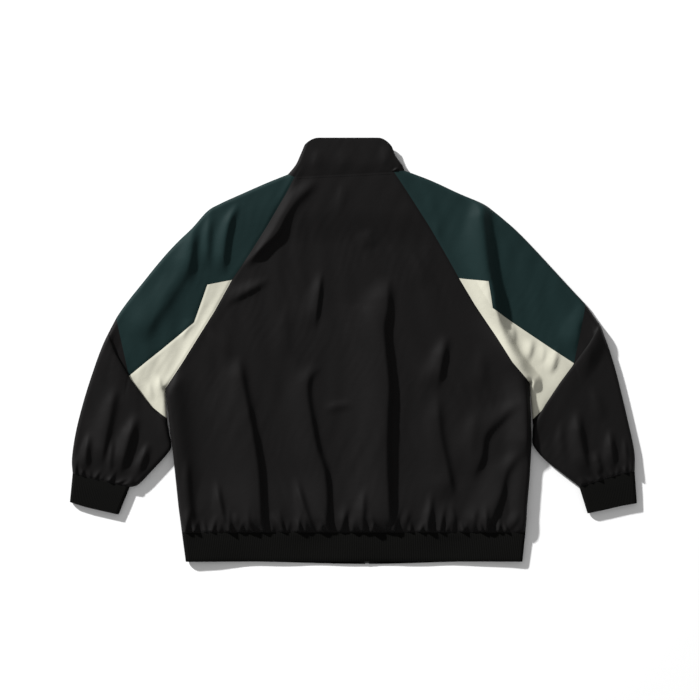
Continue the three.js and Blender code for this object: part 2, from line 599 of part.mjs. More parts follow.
// Collar, from the points of the neck seam
const asPoints = (rows) => rows.map((q) => q.point);
const neckLine = {
  back: [...left.neckBack, ...asPoints(backRows.at(-1)).slice(1), ...[...right.neckBack].reverse().slice(1)],
  left: [...left.neckFront, ...asPoints(left.frontRows.at(-1)).slice(1)],
  right: [...right.neckFront, ...asPoints(right.frontRows.at(-1)).slice(1)],
};
const shareOfBack = (x) => clamp01((x - left.neckEnd.x) / (right.neckEnd.x - left.neckEnd.x));
function collarPoint(row, x0, front) {
  const s = shareOfBack(x0);
  const fromZip = Math.abs(x0 - ZIP.neckX) - ZIP.frontEdge;
  const [seamEnd, rowEnd] = x0 < ZIP.neckX ? [left.neckEnd.x, row.leftX] : [right.neckEnd.x, row.rightX];
  const scale = (Math.abs(rowEnd - ZIP.neckX) - ZIP.frontEdge) / (Math.abs(seamEnd - ZIP.neckX) - ZIP.frontEdge);
  const x =
    front && fromZip > -ZIP.frontEdge
      ? ZIP.neckX + Math.sign(x0 - ZIP.neckX) * (ZIP.frontEdge + fromZip * scale)
      : mix(row.leftX, row.rightX, s);
  const endY = mix(row.leftY, row.rightY, s);
  const fromEnd = Math.min(x - row.leftX, row.rightX - x);
  if (!front)
    return new THREE.Vector3(
      x, mix(endY, row.backY, swell(fromEnd, COLLAR_CORNER)), mix(COLLAR_EDGE, row.level, roll(fromEnd, COLLAR_ROUND)),
    );
  const centre = (row.leftX + row.rightX) / 2;
  const hang = Math.sqrt(Math.max(0, 1 - ((x - centre) / ((row.rightX - row.leftX) / 2)) ** 2));
  return new THREE.Vector3(x, endY - row.frontDrop * hang, mix(COLLAR_EDGE, row.frontZ, roll(fromEnd, COLLAR_ROUND)));
}
for (const [part, line] of Object.entries(neckLine)) {
  const rows = [line.map((point, i) => ({ point, t: i / (line.length - 1) }))];
  for (const row of COLLAR)
    rows.push(
      line.map((point, i) => ({ point: collarPoint(row, point.x, part !== "back"), t: i / (line.length - 1) })),
    );
  addPatch("collar", rows);
}

// From skin to solids

const PLACES = 1e4;
const keyOf = (p) => `${Math.round(p.x * 500)},${Math.round(p.y * 500)},${Math.round(p.z * 500)}`;

// Triangles of a patch, all turned the same way
function triangles(rows) {
  const made = [];
  for (let r = 0; r + 1 < rows.length; r++) {
    const [a, b] = [rows[r], rows[r + 1]];
    for (let i = 0, j = 0; i + 1 < a.length || j + 1 < b.length; ) {
      const stepA = j + 1 >= b.length || (i + 1 < a.length && a[i + 1].t + a[i].t <= b[j + 1].t + b[j].t);
      made.push([a[i].point, b[j].point, stepA ? a[i + 1].point : b[j + 1].point]);
      if (stepA) i++;
      else j++;
    }
  }
  return made;
}

const corners = new Map(); // every corner of the skin, with the normal of all that meets there
const pieces = new Map();
const cornerAt = (p) => {
  const key = keyOf(p);
  if (!corners.has(key)) corners.set(key, { key, p: p.clone(), normal: new THREE.Vector3() });
  return corners.get(key);
};
for (const { piece, rows } of patches) {
  const faces = triangles(rows).map((tri) => tri.map(cornerAt)).filter(([a, b, c]) => a !== b && b !== c && c !== a);
  if (!pieces.has(piece)) pieces.set(piece, []);
  pieces.get(piece).push(faces);
}
// Every patch is turned so that its outer side faces away from the inside of the garment.
const crossOf = ([a, b, c]) => b.p.clone().sub(a.p).cross(c.p.clone().sub(a.p));
const edgeKey = (a, b) => `${a.key}|${b.key}`;
for (const group of pieces.values())
  for (const faces of group) {
    const facing = faces.reduce((sum, face) => sum + crossOf(face).z, 0);
    const below = Math.max(...faces.flat().map((c) => c.p.z)) < 9.9 && faces.flat().filter((c) => c.p.z < 0.01).length > 3;
    if (facing > 0 === below) faces.forEach((face) => face.reverse());
  }
for (const group of pieces.values())
  for (const face of group.flat()) face.forEach((c) => c.normal.add(crossOf(face)));
for (const corner of corners.values()) corner.normal.normalize();

// One piece of cloth from its faces: an outer and an inner face, and a rim where it ends.
function solidOf(faces, thick) {
  const edges = new Set(faces.flatMap(([a, b, c]) => [edgeKey(a, b), edgeKey(b, c), edgeKey(c, a)]));
  const rims = faces
    .flatMap(([a, b, c]) => [[a, b, c], [b, c, a], [c, a, b]])
    .filter(([a, b]) => !edges.has(edgeKey(b, a)));
  const shift = new Map();
  for (const [a, b, c] of rims) {
    const along = b.p.clone().sub(a.p).normalize();
    for (const corner of [a, b]) {
      const inwards = new THREE.Vector3().crossVectors(corner.normal, along).normalize();
      if (inwards.dot(c.p.clone().sub(corner.p)) < 0) inwards.negate();
      if (!shift.has(corner)) shift.set(corner, []);
      shift.get(corner).push(inwards);
    }
  }
  const index = new Map();
  const positions = [];
  const numberOf = (corner) => {
    if (!index.has(corner)) {
      index.set(corner, positions.length / 3);
      const p = corner.p.clone();
      const ways = shift.get(corner);
      if (ways) {
        const sum = ways.reduce((total, way) => total.add(way), new THREE.Vector3()).divideScalar(ways.length);
        p.addScaledVector(sum, HALF_GAP / Math.max(0.35, sum.lengthSq()));
      }
      p.z = Math.max(0, p.z);
      const inner = p.clone().addScaledVector(corner.normal, -thick);
      positions.push(p.x, p.y, p.z, inner.x, inner.y, inner.z);
    }
    return index.get(corner);
  };
  const list = [];
  for (const face of faces) {
    const [a, b, c] = face.map(numberOf);
    list.push(a, b, c, a + 1, c + 1, b + 1);
  }
  for (const [p, q] of rims) {
    const [a, b] = [numberOf(p), numberOf(q)];
    if (p.key < q.key) list.push(a, a + 1, b, b, a + 1, b + 1);
    else list.push(a, a + 1, b + 1, a, b + 1, b);
  }
  const geometry = new THREE.BufferGeometry();
  geometry.setAttribute("position", new THREE.Float32BufferAttribute(positions, 3));
  geometry.setIndex(list);
  geometry.computeVertexNormals();
  return geometry;
}

// Hard pieces

const wasm = await Module();
wasm.setup();
const toSolid = (geometry) => {
  const source = geometry.index ? geometry.toNonIndexed() : geometry;
  const array = source.getAttribute("position").array;
  const found = new Map();
  const verts = [];
  const tris = [];
  for (let i = 0; i < array.length; i += 3) {
    const key = [0, 1, 2].map((k) => Math.round(array[i + k] * PLACES)).join();
    if (!found.has(key)) {
      found.set(key, verts.length / 3);
      verts.push(array[i], array[i + 1], array[i + 2]);
    }
    tris.push(found.get(key));
  }
  return new wasm.Manifold(
    new wasm.Mesh({ numProp: 3, vertProperties: new Float32Array(verts), triVerts: new Uint32Array(tris) }),
  );
};
const toGeometry = (solid) => {
  const mesh = solid.getMesh();
  const geometry = new THREE.BufferGeometry();
  geometry.setAttribute("position", new THREE.Float32BufferAttribute(mesh.vertProperties, 3));
  geometry.setIndex([...mesh.triVerts]);
  geometry.computeVertexNormals();
  return geometry;
};
const block = (x0, x1, y0, y1, z0, z1) =>
  new THREE.BoxGeometry(x1 - x0, y1 - y0, z1 - z0).translate((x0 + x1) / 2, (y0 + y1) / 2, (z0 + z1) / 2);

// One half of the zip: half of the chain and its tape, drawn along the opening from the hem to the collar
function zipHalf(sign) {
  const path = [[ZIP.bottomX, ZIP.bottomY + 1, 0], [zipX(HEM.seamY), HEM.seamY, 0], [ZIP.neckX, ZIP.neckY, 0]].map(
    (p) => new THREE.Vector3(...p),
  );
  for (const row of COLLAR) {
    const p = collarPoint(row, ZIP.neckX + ZIP.frontEdge, true);
    path.push(new THREE.Vector3(ZIP.neckX, p.y, row.frontZ));
  }
  const last = path.at(-1);
  const before = path.at(-2);
  last.copy(before.clone().lerp(last, (CHAIN_END_Y - before.y) / (last.y - before.y)));
  const positions = [];
  const list = [];
  const n = ZIP_SECTION.length;
  path.forEach((p) =>
    ZIP_SECTION.forEach(({ across, z }) => positions.push(p.x + sign * across, p.y, p.z + z)),
  );
  for (let r = 0; r + 1 < path.length; r++)
    for (let i = 0; i < n; i++) {
      const [a, b] = [r * n + i, r * n + ((i + 1) % n)];
      list.push([a, b, a + n], [b, b + n, a + n]);
    }
  const outline = ZIP_SECTION.map(({ across, z }) => v2(across, z));
  for (const face of THREE.ShapeUtils.triangulateShape(outline, [])) {
    list.push([...face].reverse(), face.map((i) => i + (path.length - 1) * n));
  }
  const corner = (i) => new THREE.Vector3(...positions.slice(3 * i, 3 * i + 3));
  const volume = list.reduce((sum, [a, b, c]) => sum + corner(a).dot(corner(b).cross(corner(c))) / 6, 0);
  const geometry = new THREE.BufferGeometry();
  geometry.setAttribute("position", new THREE.Float32BufferAttribute(positions, 3));
  geometry.setIndex((volume < 0 ? list.map(([a, b, c]) => [a, c, b]) : list).flat());
  geometry.computeVertexNormals();
  return geometry;
}

// Slider: two plates joined behind the end of the chain, with a bridge that holds the pull
const { bridge } = SLIDER;
const sliderParts = [
  block(-SLIDER.width / 2, SLIDER.width / 2, SLIDER.y0, SLIDER.y1, SLIDER.outerZ0, SLIDER.outerZ1),
  block(-SLIDER.width / 2, SLIDER.width / 2, SLIDER.y0, SLIDER.y1, SLIDER.innerZ0, SLIDER.innerZ1),
  block(-SLIDER.width / 2, SLIDER.width / 2, SLIDER.postY, SLIDER.y1, SLIDER.outerZ0, SLIDER.innerZ1),
  block(-bridge.width / 2, bridge.width / 2, bridge.y0, bridge.y1, bridge.z0, bridge.z1),
  block(-bridge.width / 2, bridge.width / 2, bridge.y0, bridge.y0 + bridge.leg, bridge.z0, SLIDER.outerZ1),
  block(-bridge.width / 2, bridge.width / 2, bridge.y1 - bridge.leg, bridge.y1, bridge.z0, SLIDER.outerZ1),
].map(toSolid);
const slider = toGeometry(sliderParts.slice(1).reduce((sum, part) => sum.add(part), sliderParts[0]));

// Pull: a flat tab with an eye that turns round the bridge
const pullShape = new THREE.Shape([
  v2(-PULL.width / 2, PULL.y0), v2(PULL.width / 2, PULL.y0), v2(PULL.width / 2, PULL.y1), v2(-PULL.width / 2, PULL.y1),
]);
pullShape.holes.push(
  new THREE.Path([
    v2(-PULL.eyeWidth / 2, PULL.eyeY0), v2(PULL.eyeWidth / 2, PULL.eyeY0), v2(PULL.eyeWidth / 2, PULL.eyeY1),
    v2(-PULL.eyeWidth / 2, PULL.eyeY1),
  ]),
);
const pull = new THREE.ExtrudeGeometry(pullShape, { depth: PULL.thick, bevelEnabled: false }).translate(0, 0, PULL.z0);

// The garment

const LOOKS = {
  black: { color: "#1d1c1d", roughness: 0.78, metalness: 0 },
  green: { color: "#22332f", roughness: 0.78, metalness: 0 },
  cream: { color: "#d6d4c3", roughness: 0.8, metalness: 0 },
  rib: { color: "#121212", roughness: 0.95, metalness: 0 },
  zip: { color: "#191919", roughness: 0.6, metalness: 0 },
  metal: { color: "#2b2b2c", roughness: 0.35, metalness: 0.9 },
};
const CLOTHS = table("piece look thick", [
  ["back", "black", CLOTH], ["front_left", "black", CLOTH], ["front_right", "black", CLOTH],
  ["sleeve_top_left", "green", CLOTH], ["sleeve_top_right", "green", CLOTH],
  ["sleeve_under_left", "cream", CLOTH], ["sleeve_under_right", "cream", CLOTH],
  ["sleeve_lower_left", "black", CLOTH], ["sleeve_lower_right", "black", CLOTH],
  ["cuff_left", "rib", KNIT], ["cuff_right", "rib", KNIT], ["hem_band", "rib", KNIT], ["collar", "black", COLLAR_CLOTH],
]);

const jacket = new THREE.Group();
jacket.name = "track_jacket";
const add = (name, geometry, look) => {
  const mesh = new THREE.Mesh(geometry, new THREE.MeshStandardMaterial(LOOKS[look]));
  mesh.name = name;
  jacket.add(mesh);
  return mesh;
};
for (const { piece, look, thick } of CLOTHS) add(piece, solidOf(pieces.get(piece).flat(), thick), look);
add("zip_left", zipHalf(-1), "zip");
add("zip_right", zipHalf(1), "zip");
add("zip_slider", slider, "metal").position.x = ZIP.neckX;
add("zip_pull", pull, "metal").position.x = ZIP.neckX;

export default jacket;
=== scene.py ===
"""Track jacket with raglan sleeves and a stand collar, zipped up and laid on its front, seen from straight above.

The shapes are worked out in millimetres from the jacket's own sizes and turned to metres when a mesh is made. +X is
the wearer's right, +Y points to the collar, and the jacket lies on z = 0 with its back uppermost.
"""

import bmesh
import bpy
import numpy as np
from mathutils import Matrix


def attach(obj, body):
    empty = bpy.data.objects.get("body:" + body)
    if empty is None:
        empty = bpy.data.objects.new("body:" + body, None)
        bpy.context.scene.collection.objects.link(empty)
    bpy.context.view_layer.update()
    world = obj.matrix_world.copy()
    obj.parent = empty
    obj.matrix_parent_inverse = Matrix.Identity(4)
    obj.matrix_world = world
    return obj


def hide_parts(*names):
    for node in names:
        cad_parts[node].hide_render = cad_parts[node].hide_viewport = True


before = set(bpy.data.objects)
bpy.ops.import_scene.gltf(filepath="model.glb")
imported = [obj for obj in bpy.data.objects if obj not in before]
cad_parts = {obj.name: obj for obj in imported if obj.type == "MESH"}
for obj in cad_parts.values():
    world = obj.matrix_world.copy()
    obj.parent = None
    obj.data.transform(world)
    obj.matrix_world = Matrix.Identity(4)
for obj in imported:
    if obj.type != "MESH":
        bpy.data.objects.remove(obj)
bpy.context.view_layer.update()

bl_info = {
    "name": "Track jacket",
    "version": (1, 0, 0),
    "blender": (4, 5, 0),
    "location": "3D View > Sidebar > Jacket",
    "description": "Builds a raglan track jacket laid flat, with its cloth, knit, zip and stitching",
    "category": "Object",
}

GARMENT = "garment"

# ---------------------------------------------------------------- sizes of the laid-out jacket, in millimetres

# Heights over the surface where the cloth lies level
BODY_LEVEL, NECK_LEVEL, SHOULDER_LEVEL, UNDERARM_LEVEL, FOREARM_LEVEL, CUFF_LEVEL = 7.5, 14.6, 12.0, 6.5, 13.0, 11.0
TO_NECK = (190.0, 65.0)  # from this y up, the back rises to the neck's level over this length
SHOULDER_FALL = (30.0, 110.0)  # from this far below its top fold, a sleeve sinks to the underarm over this length
# Heights of the folded edges, and how far in the quarter ellipses reach that roll down to them
SIDE_EDGE, UNDERARM_EDGE, ARM_EDGE, FOREARM_EDGE, CUFF_EDGE, COLLAR_EDGE, HEM_EDGE = 7.0, 4.6, 6.0, 7.0, 5.4, 8.0, 6.5
SIDE_ROUND, UNDERARM_ROUND, ARM_ROUND, COLLAR_ROUND = 8.0, 12.0, 7.0, 8.0
# Air in the cloth: at the sides of the body, under the arms and over the hem
SIDE_LOFT, SIDE_LOFT_FROM, SIDE_LOFT_REACH = 9.5, 12.0, 22.0
UNDERARM_LOFT, UNDERARM_REACH = 2.6, 22.0
PUFF, PUFF_REACH = 4.0, 42.0
# The raglan seam: y, z
RAGLAN_HEIGHTS = np.array([(-70, 8.5), (-30, 7.5), (83, 7), (131, 7.5), (224, 10), (313, 14.4)])
SEAM_GROOVE, COLOUR_GROOVE, GROOVE_REACH = 0.9, 0.7, 2.6  # depth and half width of the groove along a seam

# The hem band: y of its seam and of its lower edge, x of its ends, and how far its front hangs below its back
HEM_Y, HEM_END_Y, HEM_LEFT_X, HEM_RIGHT_X, HEM_DROP = -327.0, -379.5, -302.0, 304.5, 4.5
HEM_LEVEL, HEM_ENDS = 7.5, ((-306, 6.0, 75), (308, 3.5, 50))  # height of the seam, and at its ends: x, rise, reach
# Ribs: how many on one face of a cuff, pitch of those of the hem, height, and the way over which they rise, as a share
# of the band's height and in from its ends. BAND_SAG is how far a band sinks from its seam to its free edge
CUFF_RIBS, HEM_RIB, RIB_HEIGHT, RIB_START, RIB_SIDE, BAND_SAG = 34, 3.2, 0.6, 0.08, 5.0, 1.2

# The elbow: a half round along the fold, the way up from it to the forearm's level, and how far the cream panel runs
# on under the forearm, in how many of its last rows
ELBOW_ROUND, ELBOW_DROP, ELBOW_RISE, ELBOW_BULGE, ELBOW_ROWS = 6.0, 2.6, 34.0, 7.0, 9
TUCK_DEPTH, TUCK_TOP, TUCK_START, TUCK_REACH = 20.0, 6.4, 7.0, 26.0
TUCK_WAY_ROW = 6  # the tuck points from the fold to this row of the lower sleeve
# Rows of the tuck: share of the way back to the seam, share of the tuck's depth, more depth, height where it is deep,
# height where it is flat
TUCK = ((0.5, 1, -3, 0, 0.8), (0.36, 1, 0, 0.45, 1.4), (0.24, 1, -3, 0.9, 2), (0.12, 0, 5, 1, 2.7), (0, 0, 0, 3.6, 3.6))
# The forearm swells up from the cuff's seam over CUFF_SWELL, and its edges over CUFF_PUFF
CUFF_SPAN, CUFF_SWELL, CUFF_PUFF = 105.0, 22.0, 60.0

# The neck: the ellipse of the fronts' neckline, and how far in from its ends the collar's back line bends
NECK_HALF, NECK_DROP, COLLAR_CORNER = 105.0, 75.0, 26.0

# The zip: its ends at the hem and the neck, the end of its chain in the collar, and half of the gap between the fronts
ZIP_BOTTOM, ZIP_NECK, CHAIN_END_Y, ZIP_EDGE = (25.0, -384.0), (-12.6, 246.0), 309.0, 4.5
# How far from the zip's middle its tape has points, the tape's height and its thickness
TAPE_ACROSS, TAPE_Z, TAPE_THICK = np.array([0.9, 2.2, 3.2, 6, 9.5, 13]), 2.9, 0.8
FIRST_TOOTH, TEETH_FEWER = 4.6, 5  # pitches from the end of the zip to its first tooth, teeth fewer than pitches
# Plans of a tooth and of the box at the bottom, x across the zip and y along it, and their heights with the plan's size
TOOTH = ((-1.5, -0.35), (-0.9, -0.68), (0.2, -0.5), (3.1, -0.72), (3.1, 0.72), (0.2, 0.5), (-0.9, 0.68), (-1.5, 0.35))
TOOTH_LEVELS, TOOTH_CENTRE = ((0.7, 0.78), (1.1, 1), (3.3, 1), (3.7, 0.78)), (0.8, 0)
ZIP_BOX = ((-4.2, -0.5), (-3.7, 0), (3.7, 0), (4.2, -0.5), (4.2, -9.5), (3, -11), (-3, -11), (-4.2, -9.5))
ZIP_BOX_LEVELS, ZIP_BOX_Y = ((0.5, 0.94), (0.8, 1), (4.4, 1), (4.7, 0.94)), -371.5
# Distance of the stitches from the neck, hem and cuff seams, and their height over the cloth
NECK_STITCH, HEM_STITCH, CUFF_STITCH, STITCH_LIFT = 3.2, 2.6, 3.0, 0.05

# Widths for which rows of points are set out, and how far in from a rolled edge a row has its first points. A row
# shorter than NARROW has them closer
BAND_SPAN, FRONT_SPAN, PANEL_SPAN = 610.0, 300.0, 170.0
EDGE_STEPS, NARROW = np.array([0, 0.25, 0.7, 1.5, 2.6, 4.0, 5.7, 7.6]), 34.0

# Outlines of the two halves: pairs of an inner and an outer point, or single points
HALVES = {
    "left": dict(
        sign=-1,
        side=[(-309, -327), (-312, -304), (-315, -282), (-321, -224), (-327, -168), (-333, -122), (-339, -68)],
        raglan=[(-106, 313, -118, 318), (-122, 282, -158, 302), (-156, 224, -206, 281), (-187, 175, -240, 265.5),
                (-219, 128, -263, 252)],
        front_raglan=[(-109, 287.5), (-119, 268), (-148, 219), (-182, 172), (-219, 128)],
        panel=[(-263, 119.5, -290, 222), (-275, 85.5, -313, 200), (-287, 51.5, -335, 177), (-316, 27, -358, 150),
               (-345, 3, -382, 120), (-375, -21, -406, 90), (-404, -45, -427, 60)],
        panel_inner=[(-219, 128), (-250, 72), (-280, 24), (-308, -21), (-339, -68), (-337.5, -94), (-336, -121)],
        crease_outer=[(-441, 33), (-428, -3), (-404, -45.6)],
        crease_inner=[(-404, -45.6), (-377, -82), (-356, -109), (-335, -130.5)],
        forearm_outer=[(-441, 33), (-451, 12), (-464, -22), (-483, -80), (-499, -141), (-507, -192), (-506, -220)],
        forearm_inner=[(-335, -130.5), (-331, -152), (-328, -171), (-335, -185), (-364, -217), (-388, -241),
                       (-403, -245)],
        cuff_seam=[(-506, -220), (-475, -229), (-440, -236.5), (-403, -245)],
        cuff_end=[(-511, -272), (-482, -281), (-452, -288), (-423, -294.5)],
    ),
    "right": dict(
        sign=1,
        side=[(310, -327), (312, -304), (313, -282), (318, -224), (321, -168), (320, -115), (317, -57)],
        raglan=[(73, 322, 92, 325), (101, 280, 140, 307), (137, 224, 190, 284), (164, 178, 233, 265.5),
                (190.5, 131, 255, 250)],
        front_raglan=[(83, 294.5), (96, 270), (128, 222), (160, 175), (190.5, 131)],
        panel=[(242, 125, 285, 225), (246, 101, 305, 206), (249.5, 77, 325, 185), (286, 52, 348, 160),
               (323, 27, 371, 135), (360, 2, 394, 110), (397, -22, 418, 84)],
        panel_inner=[(190.5, 131), (219, 83), (256, 27), (285, -20), (317, -57), (320.5, -90), (323, -123)],
        crease_outer=[(443, 49), (423, 14), (397, -22.6)],
        crease_inner=[(397, -22.6), (371, -58), (345, -97), (323.5, -133.5)],
        forearm_outer=[(443, 49), (452, 28), (463, -3), (475, -44), (494, -123), (506, -180), (507, -217)],
        forearm_inner=[(323.5, -133.5), (323, -152), (324, -170), (344, -195), (376, -221), (407, -244.5)],
        cuff_seam=[(507, -217), (483, -222), (447, -233), (407, -244.5)],
        cuff_end=[(511, -274), (482, -279), (452, -286), (422, -292.5)],
    ),
}
# level lines of the collar: left end, right end, back line, hang of the front, heights of the front and the back
COLLAR_ROWS = (
    (-104, 335, 88, 335, 337, 74, 3.6, 15.5),
    (-96, 352, 77, 350, 359, 72, 6.2, 15.5),
    (-88, 371, 70, 367, 383.5, 68, 6.2, 15),
)

# Folds and creases: points of the crest, then height, reach of the steep side and of the easy side
BODY_FOLDS = (
    ((-60, 312), (-101, 274), (-123, 243), (-138, 214), (-168, 184), (-204, 152), 11.5, 9, 26),
    ((-146, 132), (-190, 108), (-238, 82), 5, 6, 20),
    ((-209, -4), (-202, -49), (-190, -110), (-179, -169), (-171, -229), (-167, -326), 11.5, 8, 46),
    ((-57, 149), (-65, 86), (-72, 33), 5.5, 5, 22),
    ((-56, -24), (-80, -46), (-84, -78), (-77, -124), (-67, -176), (-54, -214), (-49, -259), (-50, -326), 9.5, 7, 34),
    ((60, 138), (59, 79), (53, 41), (57, -11), (62, -65), (60, -124), (59, -200), (64, -326), 14, 9.5, 52),
    ((19, 222), (29, 200), (35, 182), 2.6, 9, 20),
    ((-18, 312), (-22, 275), (-27, 240), 2.2, 12, 16),
    ((170, 34), (161, -4), (153, -49), (148, -76), 8, 7, 26),
    ((150, -76), (153, -139), (168, -214), (180, -274), 8, 8, 38),
    ((226, -96), (212, -150), (206, -210), 3.5, 12, 26),
    ((306, -84), (271, -115), (237, -150), (229, -192), (210, -234), 7.5, 7, 28),
    ((308, -172), (275, -214), (263, -259), (236, -326), 9, 7.5, 28),
    ((4, -95), (-30, -99), (-58, -110), 3, 7, 12),
    ((-300, -182), (-298, -240), (-292, -322), 3, 6, 14),
    ((-248, -228), (-242, -262), (-230, -324), 6, 5.5, 16),
    ((-105, -226), (-92, -270), (-74, -325), 6, 5.5, 18),
    ((19, -243), (17, -275), (14, -325), 6, 6, 20),
    ((140, -250), (138, -282), (133, -325), 6.5, 6, 16),
    ((174, -272), (180, -298), (180, -318), 5, 5, 10),
    ((222, -272), (216, -298), (212, -316), 4, 6, 14),
    ((300, -282), (290, -306), (280, -320), 4, 5, 12),
    ((-214, -288), (-211, -304), (-210, -318), 4, 5, 11),
    ((-148, -286), (-140, -303), (-131, -320), 4.5, 5, 13),
    ((98, -278), (96, -298), (92, -318), 4.5, 5, 12),
    ((-12, -272), (-17, -296), (-20, -317), 4, 5, 12),
    ((-268, 40), (-236, 10), (-216, -20), 2, 9, 18),
    ((-120, 92), (-124, 40), (-118, -20), 2.2, 12, 24),
    ((110, 190), (118, 150), (132, 110), 2, 10, 22),
    ((226, 20), (232, -30), (222, -84), 2.4, 12, 24),
    ((268, 10), (290, -30), (305, -66), (310, -120), (309, -200), 11.5, 7, 26),
)
ARM_FOLDS = {
    "left": (
        ((-286, 236), (-290, 200), (-296, 160), (-304, 120), 9, 11, 26),
        ((-204, 270), (-222, 236), (-232, 190), (-236, 132), 6.5, 7, 16),
        ((-256, 254), (-262, 210), (-264, 140), 5, 8, 15),
        ((-292, 160), (-330, 104), (-366, 50), (-378, 12), 6.5, 13, 30),
        ((-280, 60), (-300, 40), (-312, 14), 1.8, 5, 10),
        ((-352, -40), (-348, -62), (-340, -84), 2, 4, 8),
        ((-370, -52), (-366, -72), (-360, -92), 1.6, 4, 8),
    ),
    "right": (
        ((224, 284), (229, 240), (234, 190), (240, 145), (249, 105), (254, 68), (262, 36), (276, 4), (294, -24),
         (318, -54), 21, 15, 34),
        ((143, 236), (150, 214), (152, 196), 3, 6, 12),
        ((414, 92), (403, 40), (390, -16), 5.5, 10, 30),
        ((320, 26), (318, 0), (310, -22), 3, 5, 12),
        ((366, 10), (362, -18), (352, -46), 4, 5, 14),
        ((282, 56), (288, 30), (286, 8), 2.4, 5, 9),
        ((340, 16), (342, -6), (336, -26), 1.8, 4, 8),
    ),
}
FOREARM_FOLDS = {
    "left": (
        ((-424, -54), (-442, -132), (-457, -216), 9, 9, 22),
        ((-388, -108), (-404, -160), (-424, -230), 9, 8, 22),
        ((-474, -142), (-480, -180), (-482, -220), 7, 7, 14),
        ((-366, -160), (-380, -196), (-392, -230), 6.5, 7, 14),
        ((-432, -150), (-436, -190), (-440, -228), 4, 5, 10),
        ((-408, -60), (-392, -80), (-372, -104), 2, 8, 14),
    ),
    "right": (
        ((402, -100), (405, -150), (412, -188), (424, -230), 9.5, 8.5, 24),
        ((461, -136), (463, -180), (470, -218), 8, 7, 17),
        ((432, -176), (440, -204), (446, -226), 5.5, 6, 12),
        ((376, -120), (372, -160), (382, -208), 3.5, 8, 16),
        ((424, -60), (440, -96), (452, -130), 3, 10, 18),
        ((486, -150), (490, -186), (492, -214), 3, 5, 10),
    ),
}
COLLAR_FOLDS = (
    ((66, 319), (76, 326), (84, 330), 3.0, 1.8, 6),
    ((-72, 322), (-66, 346), (-62, 368), 1.6, 8, 12),
    ((52, 330), (58, 350), (54, 372), 1.8, 8, 12),
    ((-20, 322), (-18, 344), (-24, 366), 1.0, 10, 14),
)
# A fold rises from nothing over this length, one that ends below this y runs on into the hem, and a long one grows
FOLD_SOFT, FOLD_TO_HEM = 45.0, -300.0
FOLD_GROWS, FOLD_WIDENS = (150.0, 200.0), (60.0, 110.0)  # least length, and the length over which it happens
# Fine creasing: height, spacing, lean, length against spacing, phase
CRUMPLE = ((0.8, 47, 0.18, 2.6, 0.4), (0.5, 34, -0.3, 2.4, 1.9), (0.34, 24, 0.5, 2.4, 3.1), (0.18, 15, -0.4, 2.6, 4.7))
# Gathers along a seam: how many, how high and how far they reach
HEM_GATHERS, CUFF_GATHERS = (50, 8.0, 60), (11, 4.8, 38)
# The raglan seam stands up beside the arm: y of the middle, rise, half length
RAGLAN_RISE = {"left": (20, 2.0, 80), "right": (-20, 19.5, 62)}
# Lengths over which the sleeve and the body come away from that seam, also at the neck, and the body from the hem
RAGLAN_FALL, BODY_FALL = {"left": 18.0, "right": 23.0}, {"left": 16.0, "right": 46.0}
NECK_FALL, HEM_FALL = 16.0, 30.0

# ---------------------------------------------------------------- the stage, in metres and watts

FLOOR_HALF = 6.0
KEY_PLACE, KEY_POWER, KEY_WIDTH, SKY_STRENGTH = (-7.8, 7.8, 4.9), 3000.0, 0.6, 0.4
# The camera looks straight down and takes in VIEW_HALF to each side of VIEW_CENTRE, at the height VIEW_LEVEL
LENS, SENSOR, VIEW_HALF, VIEW_CENTRE, VIEW_LEVEL = 100, 36, 0.63, (-0.0061, 0.0018), 0.01

# ---------------------------------------------------------------- small maths on whole arrays


def mix(a, b, t):
    """a at t = 0 and b at t = 1."""
    return a + (b - a) * t


def clamp01(t):
    """t, but no less than 0 and no more than 1."""
    return np.clip(t, 0, 1)


def ease(t):
    """3 t squared less 2 t cubed, level at both ends."""
    t = clamp01(t)
    return t * t * (3 - 2 * t)


def bell(d, reach):
    """e to the minus (d / reach) squared."""
    return np.exp(-((d / reach) ** 2))


def roll(d, reach):
    """Quarter ellipse: how far up a folded edge the cloth is at a distance d in from it."""
    return np.sqrt(np.maximum(0, 1 - (1 - clamp01(d / reach)) ** 2))


def swell(d, reach):
    """Parabola from a seam: one less (1 - d / reach) squared."""
    return 1 - (1 - clamp01(d / reach)) ** 2


def ramp(d, reach):
    """Straight slope from a seam that ends in a crease."""
    return clamp01(d / reach)


def nearest(path, p):
    """Distance from each point to a path, the foot on the path, the path's left normal and the share of its length."""
    path = np.asarray(path, float)
    a, ab = path[:-1], np.diff(path, axis=0)
    length = np.linalg.norm(ab, axis=1)
    t = clamp01(((p[..., None, :] - a) * ab).sum(-1) / length**2)
    foot = a + t[..., None] * ab
    d = np.linalg.norm(p[..., None, :] - foot, axis=-1)
    k = d.argmin(-1)[..., None]
    before = np.concatenate([[0], np.cumsum(length)[:-1]])
    normal = np.stack([-ab[:, 1], ab[:, 0]], -1) / length[:, None]
    share = (before[k[..., 0]] + np.take_along_axis(t, k, -1)[..., 0] * length[k[..., 0]]) / length.sum()
    return (
        np.take_along_axis(d, k, -1)[..., 0],
        np.take_along_axis(foot, k[..., None], -2)[..., 0, :],
        normal[k[..., 0]],
        share,
    )


def distance(path, p):
    """Distance from each point to a path."""
    return nearest(path, p)[0]


def place_on(path, share):
    """Points at shares of a path's whole length."""
    path = np.asarray(path, float)
    run = np.concatenate([[0], np.cumsum(np.linalg.norm(np.diff(path, axis=0), axis=1))])
    run /= run[-1]
    return np.stack([np.interp(share, run, path[:, k]) for k in range(path.shape[1])], -1)


